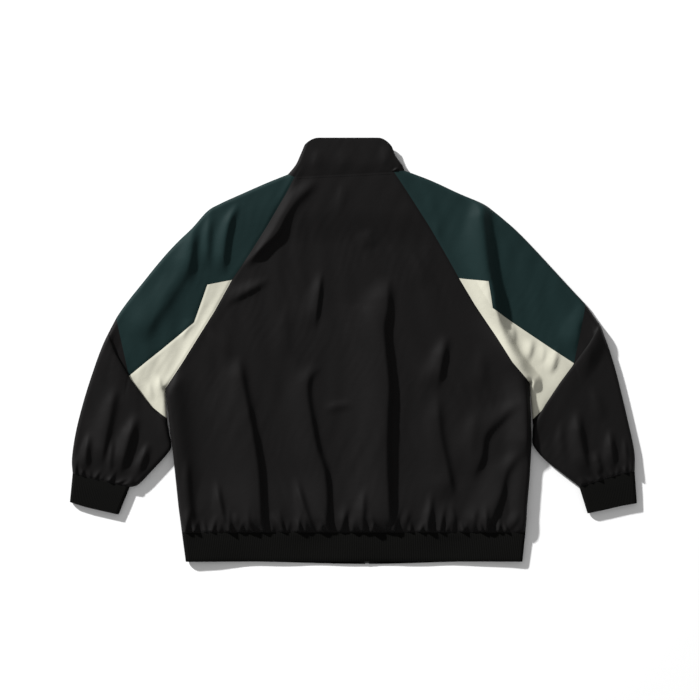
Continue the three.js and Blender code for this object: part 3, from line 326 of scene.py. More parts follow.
def shares_of(points):
    """Share of a row's length at each of its points, for every row of a grid."""
    step = np.linalg.norm(np.diff(points, axis=-2), axis=-1)
    run = np.concatenate([np.zeros(step.shape[:-1] + (1,)), np.cumsum(step, -1)], -1)
    return run / np.maximum(run[..., -1:], 1e-9)


def stations(path, steps):
    """Each piece of a path cut into the same number of steps."""
    path = np.asarray(path, float)
    t = np.arange((len(path) - 1) * steps + 1) / steps
    return np.stack([np.interp(t, np.arange(len(path)), path[:, k]) for k in range(2)], -1)


def spline(path, u):
    """Smooth curve through the points of a path: a cubic between each two, with half of the step across each point as
    its slope there. u counts the points."""
    path = np.asarray(path, float)
    n = len(path)
    i = np.minimum(np.floor(u).astype(int), n - 1)
    w = (u - i)[:, None]
    p0, p1 = path[np.maximum(i - 1, 0)], path[i]
    p2, p3 = path[np.minimum(i + 1, n - 1)], path[np.minimum(i + 2, n - 1)]
    v0, v1 = (p2 - p0) / 2, (p3 - p1) / 2
    return (2 * p1 - 2 * p2 + v0 + v1) * w**3 + (-3 * p1 + 3 * p2 - 2 * v0 - v1) * w**2 + v0 * w + p1


def spans(width, count, at_start, at_end):
    """Shares of a width at which a row has points: close together within 8 mm of a rolled edge, even elsewhere."""
    width = np.asarray(width, float)[..., None]
    near = EDGE_STEPS / width * np.minimum(1, width / NARROW)
    first = near if at_start else np.zeros_like(width)
    last = 1 - near[..., ::-1] if at_end else np.ones_like(width)
    between = mix(first[..., -1:], last[..., :1], np.arange(1, count) / count)
    return np.concatenate([first, between, last], -1)


def ruled(a, b, t):
    """Straight rows from a to b, with points at shares t."""
    return mix(a[..., None, :], b[..., None, :], t[..., None])


def fold_heights(folds, p):
    """Sum of folds. Each adds its height times a bell of the distance to its crest, narrow on its steep side and wide
    on the other. It rises from nothing over its first 45 mm, or over less of a short one, and sinks in the same way
    at its end unless it runs into the hem. A long one starts at 0.6 of its height and 0.35 of its width, and grows."""
    z = np.zeros(p.shape[:-1])
    for *points, height, near, far in folds:
        crest = spline(points, np.linspace(0, len(points) - 1, 6 * len(points) - 5))
        d, foot, normal, share = nearest(crest, p)
        steep = (normal * (p - foot)).sum(-1) >= 0
        length = np.linalg.norm(np.diff(crest, axis=0), axis=1).sum()
        to_hem = points[-1][1] < FOLD_TO_HEM
        soft = min(FOLD_SOFT, (0.8 if to_hem else 0.45) * length) / length
        fade = ease(share / soft) * (1 if to_hem else ease((1 - share) / soft))
        grown = ease(share * length / FOLD_GROWS[1]) if length > FOLD_GROWS[0] else 1
        wide = 0.35 + 0.65 * ease(share * length / FOLD_WIDENS[1]) if length > FOLD_WIDENS[0] else 1
        z += height * (0.6 + 0.4 * grown) * bell(d, np.where(steep, near, far * wide)) * fade
    return z


def ripple(p, length, lean, stretch, phase):
    """Soft ridges: a squared sine across them, whose lines lean and bend with slower sines and die out in patches."""
    x, y = p[..., 0], p[..., 1]
    across = x * np.cos(lean) + y * np.sin(lean)
    along = -x * np.sin(lean) + y * np.cos(lean)
    bend = 0.9 * np.sin(along / (stretch * length) * 2.1 + phase) + 0.5 * np.sin(across / length * 0.8 + 2.3 * phase)
    patch = 0.5 + 0.5 * np.sin(along / (stretch * length) * 1.3 + 1.7 * phase + 1.1 * np.sin(across / length))
    return np.sin(across / length * np.pi + bend) ** 2 * patch**2


def crumple(p):
    """Light creasing all over the cloth, from four sets of soft ridges of different sizes and directions."""
    return sum(height * ripple(p, *shape) for height, *shape in CRUMPLE)


def puckers(s, away, span, gathers):
    """Gathers along a seam, where s is the place along it from 0 to span and away the distance from it. Each is a ridge
    of its own height, length and lean, steep on the side away from the light. It rises within 4 mm of the seam and
    sinks to nothing at its length."""
    count, height, reach = gathers
    k = np.arange(count)
    at = (k + 0.5 + 0.34 * np.sin(2.4 * k) + 0.2 * np.sin(1.3 * k + 1)) * span / count
    tall = height * (0.56 + 0.3 * np.sin(1.9 * k + 0.6) + 0.14 * np.sin(0.7 * k + 2))
    long = reach * (0.62 + 0.26 * np.sin(2.7 * k + 2) + 0.16 * np.sin(0.9 * k))
    lean = 0.3 * np.sin(1.7 * k + 0.4)
    s, away = s[..., None], away[..., None]
    d = s - at - lean * away
    width = np.where(d > 0, 2.5 + 0.05 * away, 4.6 + 0.16 * away) * (span / count / 13) ** 0.5
    return (tall * ease(away / 4) * (1 - ease(away / long)) * bell(d, width)).sum(-1)


# ---------------------------------------------------------------- the two halves


class Half:
    """Outlines of one half of the jacket, as arrays of points in millimetres."""

    def __init__(self, name, steps):
        data = HALVES[name]
        self.name, self.sign = name, data["sign"]
        self.side = np.array(data["side"], float)
        pairs = np.array(data["raglan"], float)
        panel = np.array(data["panel"], float)
        outline = np.concatenate([pairs[:, 2:], panel[:, 2:], np.array(data["forearm_outer"], float)])
        a, b = len(pairs) - 1, len(pairs) + len(panel) - 1
        self.top_shares = spans(PANEL_SPAN, 12, True, False)
        self.raglan = stations(pairs[:, :2], steps)
        self.raglan_out = spline(outline, np.arange(a * steps + 1) / steps)
        self.front_raglan = stations(data["front_raglan"], steps)
        self.top_out = spline(outline, a + self.top_shares)
        self.panel_in = stations(panel[:, :2], steps)
        self.panel_out = spline(outline, a + 1 + np.arange((b - a - 1) * steps + 1) / steps)
        self.panel_inner = stations(data["panel_inner"], steps)
        self.raglan_lower = stations(data["panel_inner"][:5], steps)
        self.raglan_all = np.concatenate([pairs[:, :2], np.array(data["panel_inner"][1:5], float)])
        self.under_fold = np.array(data["panel_inner"][4:], float)
        self.neck_end = pairs[0, 2:]
        self.forearm_outer = spline(outline, np.linspace(b + 1, len(outline) - 1, 49))
        self.forearm_inner = spline(data["forearm_inner"], np.linspace(0, len(data["forearm_inner"]) - 1, 41))
        self.top_fold = np.concatenate([self.raglan_out, self.top_out[1:], self.panel_out[1:], self.forearm_outer[:1]])
        self.crease = [np.array(data[k], float) for k in ("crease_outer", "crease_inner")]
        self.cuff_seam, self.cuff_end = np.array(data["cuff_seam"], float), np.array(data["cuff_end"], float)


STEPS = 12
ROWS = np.concatenate([np.linspace(0, 0.1, 14)[:-1], np.linspace(0.1, 1, 74)])  # rows of the lower sleeve, as shares
LEFT, RIGHT = Half("left", STEPS), Half("right", STEPS)
BOTH = (LEFT, RIGHT)


def by_side(p, value):
    """value(half) for the half of the body that each point is in."""
    return np.where(p[..., 0] < 0, value(LEFT), value(RIGHT))


def hem_level(x):
    """Height of the hem seam: level, with a bell at each end."""
    return HEM_LEVEL + sum(rise * bell(x - at, reach) for at, rise, reach in HEM_ENDS)


def raglan_height(half, p):
    """Height of the raglan seam: read along y from RAGLAN_HEIGHTS, with a bell where it stands up beside the arm, and
    rolled down to the fold under the arm at its lower end."""
    level = np.interp(p[..., 1], RAGLAN_HEIGHTS[:, 0], RAGLAN_HEIGHTS[:, 1])
    middle, rise, reach = RAGLAN_RISE[half.name]
    level = level + rise * bell(p[..., 1] - middle, reach)
    from_underarm = np.linalg.norm(p - half.under_fold[0], axis=-1)
    return mix(UNDERARM_EDGE, level, roll(from_underarm, UNDERARM_ROUND))


def side_edge(half, p):
    """Height of the fold at the body's side, eased down over 60 mm towards the underarm."""
    return mix(UNDERARM_EDGE, SIDE_EDGE, ease(np.linalg.norm(p - half.under_fold[0], axis=-1) / 60))


def joined(borders, inside, rise=swell):
    """Height of a panel that rises or falls from its borders: each is a distance, a reach and a height. The borders'
    heights are averaged with weights of one over their distance squared, and mixed with the height inside by the
    product of their rises."""
    total, weights, heights = 1.0, 0.0, 0.0
    for d, reach, z in borders:
        total = total * rise(d, reach)
        w = 1 / np.maximum(1e-6, d / reach) ** 2
        weights, heights = weights + w, heights + w * z
    return mix(heights / weights, inside, total)


def seam_valley(d, depth=SEAM_GROOVE):
    """The stitching pulls the cloth down in a narrow groove along a seam."""
    return -depth * bell(d, GROOVE_REACH)


def body_back(p):
    """Height of the back's outer face: level where it lies on the fronts, lofted at the sides and over the hem, folded
    and creased, and rolled down at the side edges by a quarter ellipse."""
    side = by_side(p, lambda half: distance(half.side, p))
    raglan = by_side(p, lambda half: distance(half.raglan_all, p))
    seam = by_side(p, lambda half: raglan_height(half, p))
    edge = by_side(p, lambda half: side_edge(half, p))
    up = p[..., 1] - HEM_Y
    to_neck = ease((p[..., 1] - TO_NECK[0]) / TO_NECK[1])
    loft = SIDE_LOFT * bell(np.maximum(0, side - SIDE_LOFT_FROM), SIDE_LOFT_REACH)
    puff = PUFF * bell(up - PUFF_REACH, PUFF_REACH)
    relief = fold_heights(BODY_FOLDS, p) + crumple(p)
    lying = mix(BODY_LEVEL + np.maximum(puff, loft), NECK_LEVEL - 1.5, to_neck) + relief * (1 - 0.3 * to_neck)
    fall = by_side(p, lambda half: BODY_FALL[half.name])
    z = joined([(raglan, mix(fall, NECK_FALL, to_neck), seam), (up, HEM_FALL, hem_level(p[..., 0]))], lying)
    left, right = LEFT.side[0, 0], RIGHT.side[0, 0]
    z = z + puckers(p[..., 0] - left, up, right - left, HEM_GATHERS) + seam_valley(raglan)
    return mix(edge, z, roll(side, SIDE_ROUND))


def body_front(p):
    """Height of the fronts' outer face: flat on the surface, rolled up at the sides and beside the collar."""
    side = by_side(p, lambda half: distance(half.side, p))
    edge = by_side(p, lambda half: side_edge(half, p))
    neck = by_side(p, lambda half: np.linalg.norm(p - half.neck_end, axis=-1))
    return np.maximum(mix(edge, 0, roll(side, SIDE_ROUND)), mix(COLLAR_EDGE, 0, roll(neck, COLLAR_ROUND)))


def arm_rim(half, p):
    """Distance to the nearer folded edge of a sleeve, along its top or under the arm, and the height of that edge."""
    outer, inner = distance(half.top_fold, p), distance(half.under_fold, p)
    edge = mix(COLLAR_EDGE, ARM_EDGE, ease(np.linalg.norm(p - half.neck_end, axis=-1) / 90))
    return np.minimum(outer, inner), np.where(outer < inner, edge, UNDERARM_EDGE)


RAGLAN_SLOPE = {"left": swell, "right": ramp}


def arm_back(half, p):
    """Height of a sleeve's outer face above the elbow: from the shoulder's level down to the underarm's, folded and
    creased, and rolled down at the fold along its top and the one under the arm."""
    d, rim = arm_rim(half, p)
    raglan = distance(half.raglan_all, p)
    colour_seam = distance(half.panel_in, p)
    down = ease((distance(half.top_fold, p) - SHOULDER_FALL[0]) / SHOULDER_FALL[1])
    loft = UNDERARM_LOFT * bell(distance(half.under_fold, p), UNDERARM_REACH)
    level = mix(SHOULDER_LEVEL, UNDERARM_LEVEL, down) + loft + fold_heights(ARM_FOLDS[half.name], p) + crumple(p)
    border = (raglan, RAGLAN_FALL[half.name], raglan_height(half, p))
    z = joined([border], level, RAGLAN_SLOPE[half.name])
    z = z + seam_valley(raglan) + seam_valley(colour_seam, COLOUR_GROOVE)
    return mix(rim, z, roll(d, ARM_ROUND))


def arm_front(half, p):
    """Height of a sleeve's lower face: flat on the surface, rolled up at both folded edges."""
    d, rim = arm_rim(half, p)
    return mix(rim, 0, roll(d, ARM_ROUND))


# ---------------------------------------------------------------- grids of the pieces


def at_height(p, z):
    """Points of a plan with their heights."""
    return np.concatenate([p, np.broadcast_to(z, p.shape[:-1])[..., None]], -1)


def blended(first, last, start, end, u, v):
    """Grid between four sides: the blend across, plus the blend along, less the blend of the four corners."""
    at_first, at_last = place_on(first, u), place_on(last, u)
    u, v = u[None, :, None], v[:, None, None]
    corners = mix(mix(first[0], first[-1], u), mix(last[0], last[-1], u), v)
    return mix(at_first, at_last, v) + mix(start[:, None], end[:, None], u) - corners


def sleeve_layer(half, upper, top_count, panel_count):
    """Grids of one sleeve's four pieces, in its upper face or in the face that lies below. Above the elbow they are
    straight rows, from the fold along the top to the raglan and colour seams, and on to the fold under the arm."""
    height = arm_back if upper else arm_front
    top_in = mix(half.raglan[-1], half.panel_in[0], half.top_shares[1:, None])
    inner = np.concatenate([half.raglan if upper else half.front_raglan, top_in, half.panel_in[1:]])
    outer = np.concatenate([half.raglan_out, half.top_out[1:], half.panel_out[1:]])
    plan = ruled(outer, inner, spans(np.linalg.norm(inner - outer, axis=-1), top_count, True, False))
    top = at_height(plan, height(half, plan))

    across = spans(PANEL_SPAN, panel_count, False, True)
    plan = ruled(half.panel_in, half.panel_inner, np.broadcast_to(across, (len(half.panel_in), len(across))))
    if upper:
        line = half.crease[1][-1] - half.crease[1][0]
        beyond = np.array([line[1], -line[0]]) / np.linalg.norm(line)
        beyond = -beyond if beyond[1] > 0 else beyond
        near_elbow = ease((np.arange(len(plan)) - len(plan) + ELBOW_ROWS) / (ELBOW_ROWS - 1))[:, None]
        plan = plan + (ELBOW_BULGE * near_elbow * np.sin(np.pi * across))[..., None] * beyond
    panel = at_height(plan, height(half, plan))
    lower = lower_layer(half, upper, top[-1], panel[-1])
    return {"top": top, "panel": panel, "lower": lower, "cuff": cuff_layer(half, upper, lower[-1])}


def rim_distance(rims, p):
    """Distance to the nearer of two folded edges, and none at a row's two ends, which lie on those edges."""
    d = np.minimum(distance(rims[0], p), distance(rims[1], p))
    d[..., 0] = d[..., -1] = 0
    return d


def lower_layer(half, upper, top_row, panel_row):
    """Grid of one face of the lower sleeve: from the seam with the pieces above, through the tuck that it makes under
    the elbow's fold, to the cuff. The folded edge itself is a half round."""
    seam = np.concatenate([top_row, panel_row[1:]])
    places = [place_on(edge, shares_of(row[:, :2])) for edge, row in zip(half.crease, (top_row, panel_row))]
    crease_at = np.concatenate([places[0], places[1][1:]])
    crease = np.concatenate([half.crease[0], half.crease[1][1:]])
    whole = shares_of(crease_at)
    ends = [place_on(edge, ROWS) for edge in (half.forearm_outer, half.forearm_inner)]
    plan = blended(crease, half.cuff_seam, ends[0], ends[1], whole, ROWS)
    plan[0] = crease_at
    rims = [np.concatenate([half.panel_out[-1:], half.forearm_outer]),
            np.concatenate([half.panel_inner[-1:], half.forearm_inner])]
    base = np.maximum(seam[:, 2], arm_back(half, crease_at)) if upper else np.zeros(len(seam))
    way = plan[TUCK_WAY_ROW] - plan[0]
    way /= np.linalg.norm(way, axis=-1, keepdims=True)
    made = [seam]
    d = rim_distance(rims, crease_at)
    deep = ease((d - TUCK_START) / TUCK_REACH) if upper else np.zeros_like(d)
    for back, ahead, add, lift, flat_lift in TUCK:
        flat = mix(crease_at, seam[:, :2], back)
        p = mix(flat, crease_at + way * (TUCK_DEPTH * ahead + add), deep[:, None])
        rim_z = mix(np.where(whole < 0.5, ARM_EDGE, UNDERARM_EDGE), FOREARM_EDGE, 1 - back)
        level = base + mix(flat_lift, lift, deep) if upper else 0 * base
        made.append(at_height(p, mix(rim_z, level, roll(d, ARM_ROUND))))

    body = plan.copy()
    body[0] = mix(plan[0], plan[1], 0.5)
    s, to_cuff = distance(crease, body), distance(half.cuff_seam, body)
    level = 0 * s
    if upper:
        free = FOREARM_LEVEL + fold_heights(FOREARM_FOLDS[half.name], body) + crumple(body)
        edge = base + TUCK_TOP - ELBOW_DROP * (1 - roll(s, ELBOW_ROUND))
        rising = mix(edge, free, ease((s - ELBOW_ROUND) / ELBOW_RISE))
        level = mix(CUFF_LEVEL, rising, swell(to_cuff, CUFF_SWELL))
        level = level + puckers(np.broadcast_to(whole * CUFF_SPAN, s.shape), to_cuff, CUFF_SPAN, CUFF_GATHERS)
    rim_z = mix(CUFF_EDGE, FOREARM_EDGE, ease(to_cuff / CUFF_PUFF))
    z = mix(rim_z, level, roll(rim_distance(rims, body), ARM_ROUND))
    return np.concatenate([np.array(made), at_height(body, z)])


def cuff_layer(half, upper, seam):
    """Grid of one face of a cuff, with its ribs, down from the points of its seam."""
    v = np.linspace(0, 1, 16)[:, None]
    ribs = np.linspace(0, 1, 4 * CUFF_RIBS + 1)
    top_edge = place_on(seam, ribs)
    plan = mix(top_edge[None, :, :2], place_on(half.cuff_end, ribs)[None], v[..., None])
    d = rim_distance([np.stack([half.cuff_seam[k], half.cuff_end[k]]) for k in (0, -1)], plan)
    z = mix(CUFF_EDGE, (CUFF_LEVEL - BAND_SAG * v) if upper else 0.0, roll(d, ARM_ROUND))
    z = z + rib_relief(CUFF_RIBS * ribs)[None] * ease(v / RIB_START) * ease(d / RIB_SIDE)
    return at_height(plan, mix(top_edge[None, :, 2], z, ease(v * 2)))


def rib_relief(turns):
    """Height of knitted ribs above the valleys between them: half of one less the cosine of their place."""
    return RIB_HEIGHT * (0.5 - 0.5 * np.cos(2 * np.pi * turns))


def sleeve(half):
    """Both faces of one sleeve. They share the points of their folded edges."""
    return sleeve_layer(half, True, 34, 30), sleeve_layer(half, False, 3, 2)


def side_stations(half):
    """Points up the side of the body, closer together near the hem."""
    parts = [stations(half.side[a:b], steps)[1:] for a, b, steps in ((1, 3, 9), (2, None, 10))]
    return np.concatenate([stations(half.side[:2], 12), *parts])


def edge_of(half, raglan):
    """Outer edge of the body from the hem up: its side, the seam under the arm and a raglan seam."""
    return np.concatenate([side_stations(half), half.raglan_lower[::-1][1:], raglan[::-1][1:]])


def back_grid():
    """Grid of the back: straight rows from its left edge to its right edge, at the height of body_back."""
    a, b = edge_of(LEFT, LEFT.raglan), edge_of(RIGHT, RIGHT.raglan)
    plan = ruled(a, b, spans(np.linalg.norm(b - a, axis=-1), 236, True, True))
    return at_height(plan, body_back(plan))


def zip_x(y):
    """x of the middle of the zip: a straight line from the hem to the neck."""
    share = clamp01((np.asarray(y, float) - ZIP_BOTTOM[1]) / (ZIP_NECK[1] - ZIP_BOTTOM[1]))
    return mix(ZIP_BOTTOM[0], ZIP_NECK[0], share)


def front_grid(half):
    """Grid of one front, blended between its hem, its side and raglan edge, its zip edge and its neckline, which is an
    arc of an ellipse below the line between the ends of the collar."""
    outer = edge_of(half, half.front_raglan)
    corner = half.front_raglan[0]
    zip_top = np.array([zip_x(ZIP_NECK[1]) + half.sign * ZIP_EDGE, ZIP_NECK[1]])
    bottom = np.array([half.side[0], (zip_x(HEM_Y) + half.sign * ZIP_EDGE, HEM_Y)])
    angle = np.radians(np.linspace(24, 87, 15))
    x = ZIP_NECK[0] + half.sign * NECK_HALF * np.cos(angle)
    ends = np.stack([LEFT.neck_end, RIGHT.neck_end])
    y = np.interp(x, ends[:, 0], ends[:, 1]) - NECK_DROP * np.sin(angle)
    inside = half.sign * (corner[0] - x) > 3
    top = np.concatenate([corner[None], np.stack([x, y], -1)[inside], zip_top[None]])
    v = shares_of(outer)
    plan = blended(bottom, top, outer, mix(bottom[1], zip_top, v[:, None]), spans(FRONT_SPAN, 16, True, False), v)
    return at_height(plan, body_front(plan))


def band_edge(half, v):
    """Points down one end of the hem band, at shares v of its height."""
    end_x = HEM_LEFT_X if half.sign < 0 else HEM_RIGHT_X
    return np.stack([mix(half.side[0, 0], end_x, v), mix(HEM_Y, HEM_END_Y, v)], -1)


def band_grids():
    """The hem band: ribs across the back and along both fronts, over two slow sine waves in the back of the band. Its
    ends are rolled like the sides of the body."""
    v = np.linspace(0, 1, 18)
    count = int(BAND_SPAN / HEM_RIB * 4)
    across = spans(BAND_SPAN, count, True, True)
    across = np.broadcast_to(across, (len(v), len(across)))
    plan = ruled(band_edge(LEFT, v), band_edge(RIGHT, v), across)
    x = plan[..., 0]
    d = np.minimum(np.abs(x - x[:, :1]), np.abs(x[:, -1:] - x))
    wave = 0.9 * np.sin(x / 41 + 0.6) * np.sin(v * 3)[:, None] + 0.5 * np.sin(x / 19 + 2)
    level = hem_level(x) - BAND_SAG * v[:, None] + wave * ease(v / 0.3)[:, None] * ease(d / 30)
    level += rib_relief(across * BAND_SPAN / HEM_RIB) * ease(v / RIB_START)[:, None]
    level -= BAND_SAG * ease((v - 0.9) / 0.1)[:, None]
    edge = mix(SIDE_EDGE, HEM_EDGE, v)[:, None]
    grids = [at_height(plan, mix(edge, level, roll(d, SIDE_ROUND)))]
    for half in BOTH:
        t = spans(FRONT_SPAN, count // 2, True, False)
        edge_points = band_edge(half, v)
        y = mix(HEM_Y, HEM_END_Y - HEM_DROP, v)
        zip_end = np.stack([zip_x(y) + half.sign * ZIP_EDGE, y], -1)
        p = ruled(edge_points, zip_end, np.broadcast_to(t, (len(v), len(t))))
        p[..., 1] = mix(edge_points[:, None, 1], y[:, None], ease(t * 1.4 - 0.4)[None])
        d = np.abs(p[..., 0] - edge_points[:, None, 0])
        rib = rib_relief(t * FRONT_SPAN / HEM_RIB)[None] * ease(v / RIB_START)[:, None] * ease(d / RIB_SIDE)
        grids.append(at_height(p, mix(edge, 0, roll(d, SIDE_ROUND)) + rib))
    return grids


def collar_line(row, x0, front):
    """One level line of the collar over the points of the neck seam. At the back it is straight, and bent to its ends
    by a parabola. At the front it hangs in half an ellipse. Both are rolled up at the ends by a quarter ellipse."""
    left_x, left_y, right_x, right_y, back_y, front_drop, front_z, level = row
    s = clamp01((x0 - LEFT.neck_end[0]) / (RIGHT.neck_end[0] - LEFT.neck_end[0]))
    from_zip = np.abs(x0 - ZIP_NECK[0]) - ZIP_EDGE
    seam_end = np.where(x0 < ZIP_NECK[0], LEFT.neck_end[0], RIGHT.neck_end[0])
    row_end = np.where(x0 < ZIP_NECK[0], left_x, right_x)
    scale = (np.abs(row_end - ZIP_NECK[0]) - ZIP_EDGE) / (np.abs(seam_end - ZIP_NECK[0]) - ZIP_EDGE)
    near_zip = ZIP_NECK[0] + np.sign(x0 - ZIP_NECK[0]) * (ZIP_EDGE + from_zip * scale)
    x = near_zip if front else mix(left_x, right_x, s)
    end_y = mix(left_y, right_y, s)
    from_end = np.maximum(0, np.minimum(x - left_x, right_x - x))
    if front:
        centre, half_width = (left_x + right_x) / 2, (right_x - left_x) / 2
        hang = np.sqrt(np.maximum(0, 1 - ((x - centre) / half_width) ** 2))
        return np.stack([x, end_y - front_drop * hang, mix(COLLAR_EDGE, front_z, roll(from_end, COLLAR_ROUND))], -1)
    y = mix(end_y, back_y, swell(from_end, COLLAR_CORNER))
    return np.stack([x, y, mix(COLLAR_EDGE, level, roll(from_end, COLLAR_ROUND))], -1)


def collar_grids(neck_back, neck_left, neck_right):
    """The collar: smooth curves up through the neck seam and its three level lines, with a rounded top edge."""
    grids = []
    u = np.linspace(0, 3, 40)
    for line, front in ((neck_back, False), (neck_left, True), (neck_right, True)):
        rows = np.stack([line] + [collar_line(row, line[:, 0], front) for row in COLLAR_ROWS])
        flat = rows.reshape(4, -1)
        grid = spline(flat, u).reshape(len(u), len(line), 3)
        if not front:
            p = grid[..., :2]
            ends = np.minimum(np.arange(len(line)), np.arange(len(line))[::-1]) / len(line)
            soft = ease(ends * 8)[None] * ease(u / 0.4)[:, None] * ease((3 - u) / 0.3)[:, None]
            grid[..., 2] += soft * (0.6 * crumple(p) + fold_heights(COLLAR_FOLDS, p))
        grids.append(grid)
    return grids


# ---------------------------------------------------------------- meshes


MERGE = 2e-5  # metres: points that two grids share differ by rounding alone


def mesh_of(name, grids, downs=()):
    """One mesh from grids of points in millimetres, with the points that grids share merged. Grids whose number is in
    downs face down, the rest face up."""
    verts, faces, start = [], [], 0
    for k, grid in enumerate(grids):
        r, c = grid.shape[:2]
        i = start + np.arange(r * c).reshape(r, c)
        quads = np.stack([i[:-1, :-1], i[1:, :-1], i[1:, 1:], i[:-1, 1:]], -1).reshape(-1, 4)
        a, b = grid[1:, :-1] - grid[:-1, :-1], grid[:-1, 1:] - grid[:-1, :-1]
        up = np.cross(a, b)[..., 2].sum() > 0
        if up == (k in downs):
            quads = quads[:, ::-1]
        verts.append(grid.reshape(-1, 3) / 1000)
        faces.append(quads)
        start += r * c
    mesh = bpy.data.meshes.new(name)
    mesh.from_pydata(np.concatenate(verts), [], np.concatenate(faces))
    made = bmesh.new()
    made.from_mesh(mesh)
    bmesh.ops.remove_doubles(made, verts=made.verts, dist=MERGE)
    bmesh.ops.dissolve_degenerate(made, edges=made.edges, dist=1e-6)
    made.to_mesh(mesh)
    made.free()
    mesh.polygons.foreach_set("use_smooth", np.ones(len(mesh.polygons), bool))
    # an edge with one face is cut cloth: sharp, so that the thickness there doesn't tilt the shading of the face
    edge_of_corner = np.empty(len(mesh.loops), np.int32)
    mesh.loops.foreach_get("edge_index", edge_of_corner)
    faces_at = np.bincount(edge_of_corner, minlength=len(mesh.edges))
    mesh.edges.foreach_set("use_edge_sharp", faces_at == 1)
    return mesh


def cloth(name, grids, downs, thickness, material, node):
    """A piece of cloth: its outer face from grids, given its thickness inwards, in place of its CAD node."""
    mesh = mesh_of(name, grids, downs)
    obj = bpy.data.objects.new(name, mesh)
    bpy.context.scene.collection.objects.link(obj)
    mesh.materials.append(material)
    wall = obj.modifiers.new("thickness", "SOLIDIFY")
    wall.thickness, wall.offset, wall.use_even_offset = thickness, -1, False
    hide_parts(node)
    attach(obj, GARMENT)
    return obj


def solid(name, verts, faces, material, body=GARMENT):
    """A hard or thread piece from points in millimetres."""
    mesh = bpy.data.meshes.new(name)
    mesh.from_pydata(verts / 1000, [], faces)
    mesh.materials.append(material)
    obj = bpy.data.objects.new(name, mesh)
    bpy.context.scene.collection.objects.link(obj)
    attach(obj, body)
    return obj


def zip_line(step):
    """Points down the middle of the zip, from the hem up through the neck and into the collar, at even steps."""
    path = [(ZIP_BOTTOM[0], ZIP_BOTTOM[1] + 1, 0), (zip_x(HEM_Y), HEM_Y, 0), (*ZIP_NECK, 0)]
    for row in COLLAR_ROWS:
        p = collar_line(row, np.array([ZIP_NECK[0] + ZIP_EDGE]), True)[0]
        path.append((ZIP_NECK[0], p[1], row[6]))
    path = np.array(path, float)
    path[-1] = mix(path[-2], path[-1], (CHAIN_END_Y - path[-2, 1]) / (path[-1, 1] - path[-2, 1]))
    run = np.linalg.norm(np.diff(path, axis=0), axis=1).sum()
    return place_on(path, np.linspace(0, 1, int(run / step) + 1))


def direction(line):
    """Unit vector along a line at each of its points."""
    t = np.gradient(line, axis=0)
    return t / np.linalg.norm(t, axis=-1, keepdims=True)


def repeated(shape_verts, shape_faces, places, forward, side, up):
    """Copies of one small shape, each turned to its own forward, side and up vectors."""
    turned = (shape_verts[None, :, :1] * side[:, None] + shape_verts[None, :, 1:2] * forward[:, None]
              + shape_verts[None, :, 2:] * up[:, None])
    verts = (places[:, None] + turned).reshape(-1, 3)
    faces = []
    for size in sorted({len(face) for face in shape_faces}):
        same = np.array([face for face in shape_faces if len(face) == size])
        copies = same[None] + (np.arange(len(places)) * len(shape_verts))[:, None, None]
        faces += copies.reshape(-1, size).tolist()
    return verts, faces


def lofted(rings):
    """Faces of a shape lofted through rings of equal size, with a cap at both ends."""
    count, n = rings.shape[:2]
    i, j = np.meshgrid(np.arange(count - 1), np.arange(n), indexing="ij")
    a, b = i * n + j, i * n + (j + 1) % n
    faces = np.stack([a, b, b + n, a + n], -1).reshape(-1, 4).tolist()
    return rings.reshape(-1, 3), faces + [list(range(n))[::-1], list(range((count - 1) * n, count * n))]


def moulded(plan, levels, centre=(0, 0)):
    """A small moulded shape: its plan at each level's height, drawn in towards its centre by that level's size."""
    plan, centre = np.array(plan), np.array(centre)
    rings = [np.column_stack([centre + (plan - centre) * size, np.full(len(plan), z)]) for z, size in levels]
    return lofted(np.stack(rings))


def stitch(length):
    """One stitch: a thread of four sides that comes up out of the cloth, lies on it and goes back down."""
    ends = np.array([-0.5, -0.36, 0.36, 0.5]) * length
    ring = np.array([(-0.22, 0), (0, -0.12), (0.22, 0), (0, 0.3)])
    lift = (-0.25, 0.1, 0.1, -0.25)
    rings = np.stack([np.column_stack([ring[:, 0], np.full(4, y), ring[:, 1] + z]) for y, z in zip(ends, lift)])
    return lofted(rings)


def stitch_row(name, line, length, material):
    """Stitches one after another along a line on the cloth, with a gap of a fifth of their length."""
    run = np.linalg.norm(np.diff(line, axis=0), axis=1).sum()
    count = int(run / (length * 1.2))
    places = place_on(line, (np.arange(count) + 0.5) / count)
    forward = direction(places)
    side = np.cross(forward, (0, 0, 1.0))
    side /= np.linalg.norm(side, axis=-1, keepdims=True)
    verts, faces = repeated(*stitch(length), places, forward, side, np.cross(side, forward))
    return solid(name, verts, faces, material)


# ---------------------------------------------------------------- materials


def linear(hex_colour):
    """sRGB hex to linear: c / 12.92 below 0.04045, else ((c + 0.055) / 1.055) to the 2.4."""
    c = np.array([int(hex_colour[i:i + 2], 16) / 255 for i in (1, 3, 5)])
    return tuple(np.where(c <= 0.04045, c / 12.92, ((c + 0.055) / 1.055) ** 2.4))


def node(tree, kind, inputs=None, **settings):
    """Adds one node with its settings and its links."""
    made = tree.nodes.new(kind)
    for key, value in settings.items():
        setattr(made, key, value)
    for key, value in (inputs or {}).items():
        if isinstance(value, bpy.types.NodeSocket):
            tree.links.new(value, made.inputs[key])
        else:
            made.inputs[key].default_value = value
    return made


WAVE = 2 * np.pi / 20  # a Wave texture of this scale has one band in a metre


def new_material(name):
    """An empty material and its node tree."""
    material = bpy.data.materials.new(name)
    material.use_nodes = True
    tree = material.node_tree
    tree.nodes.clear()
    return material, tree


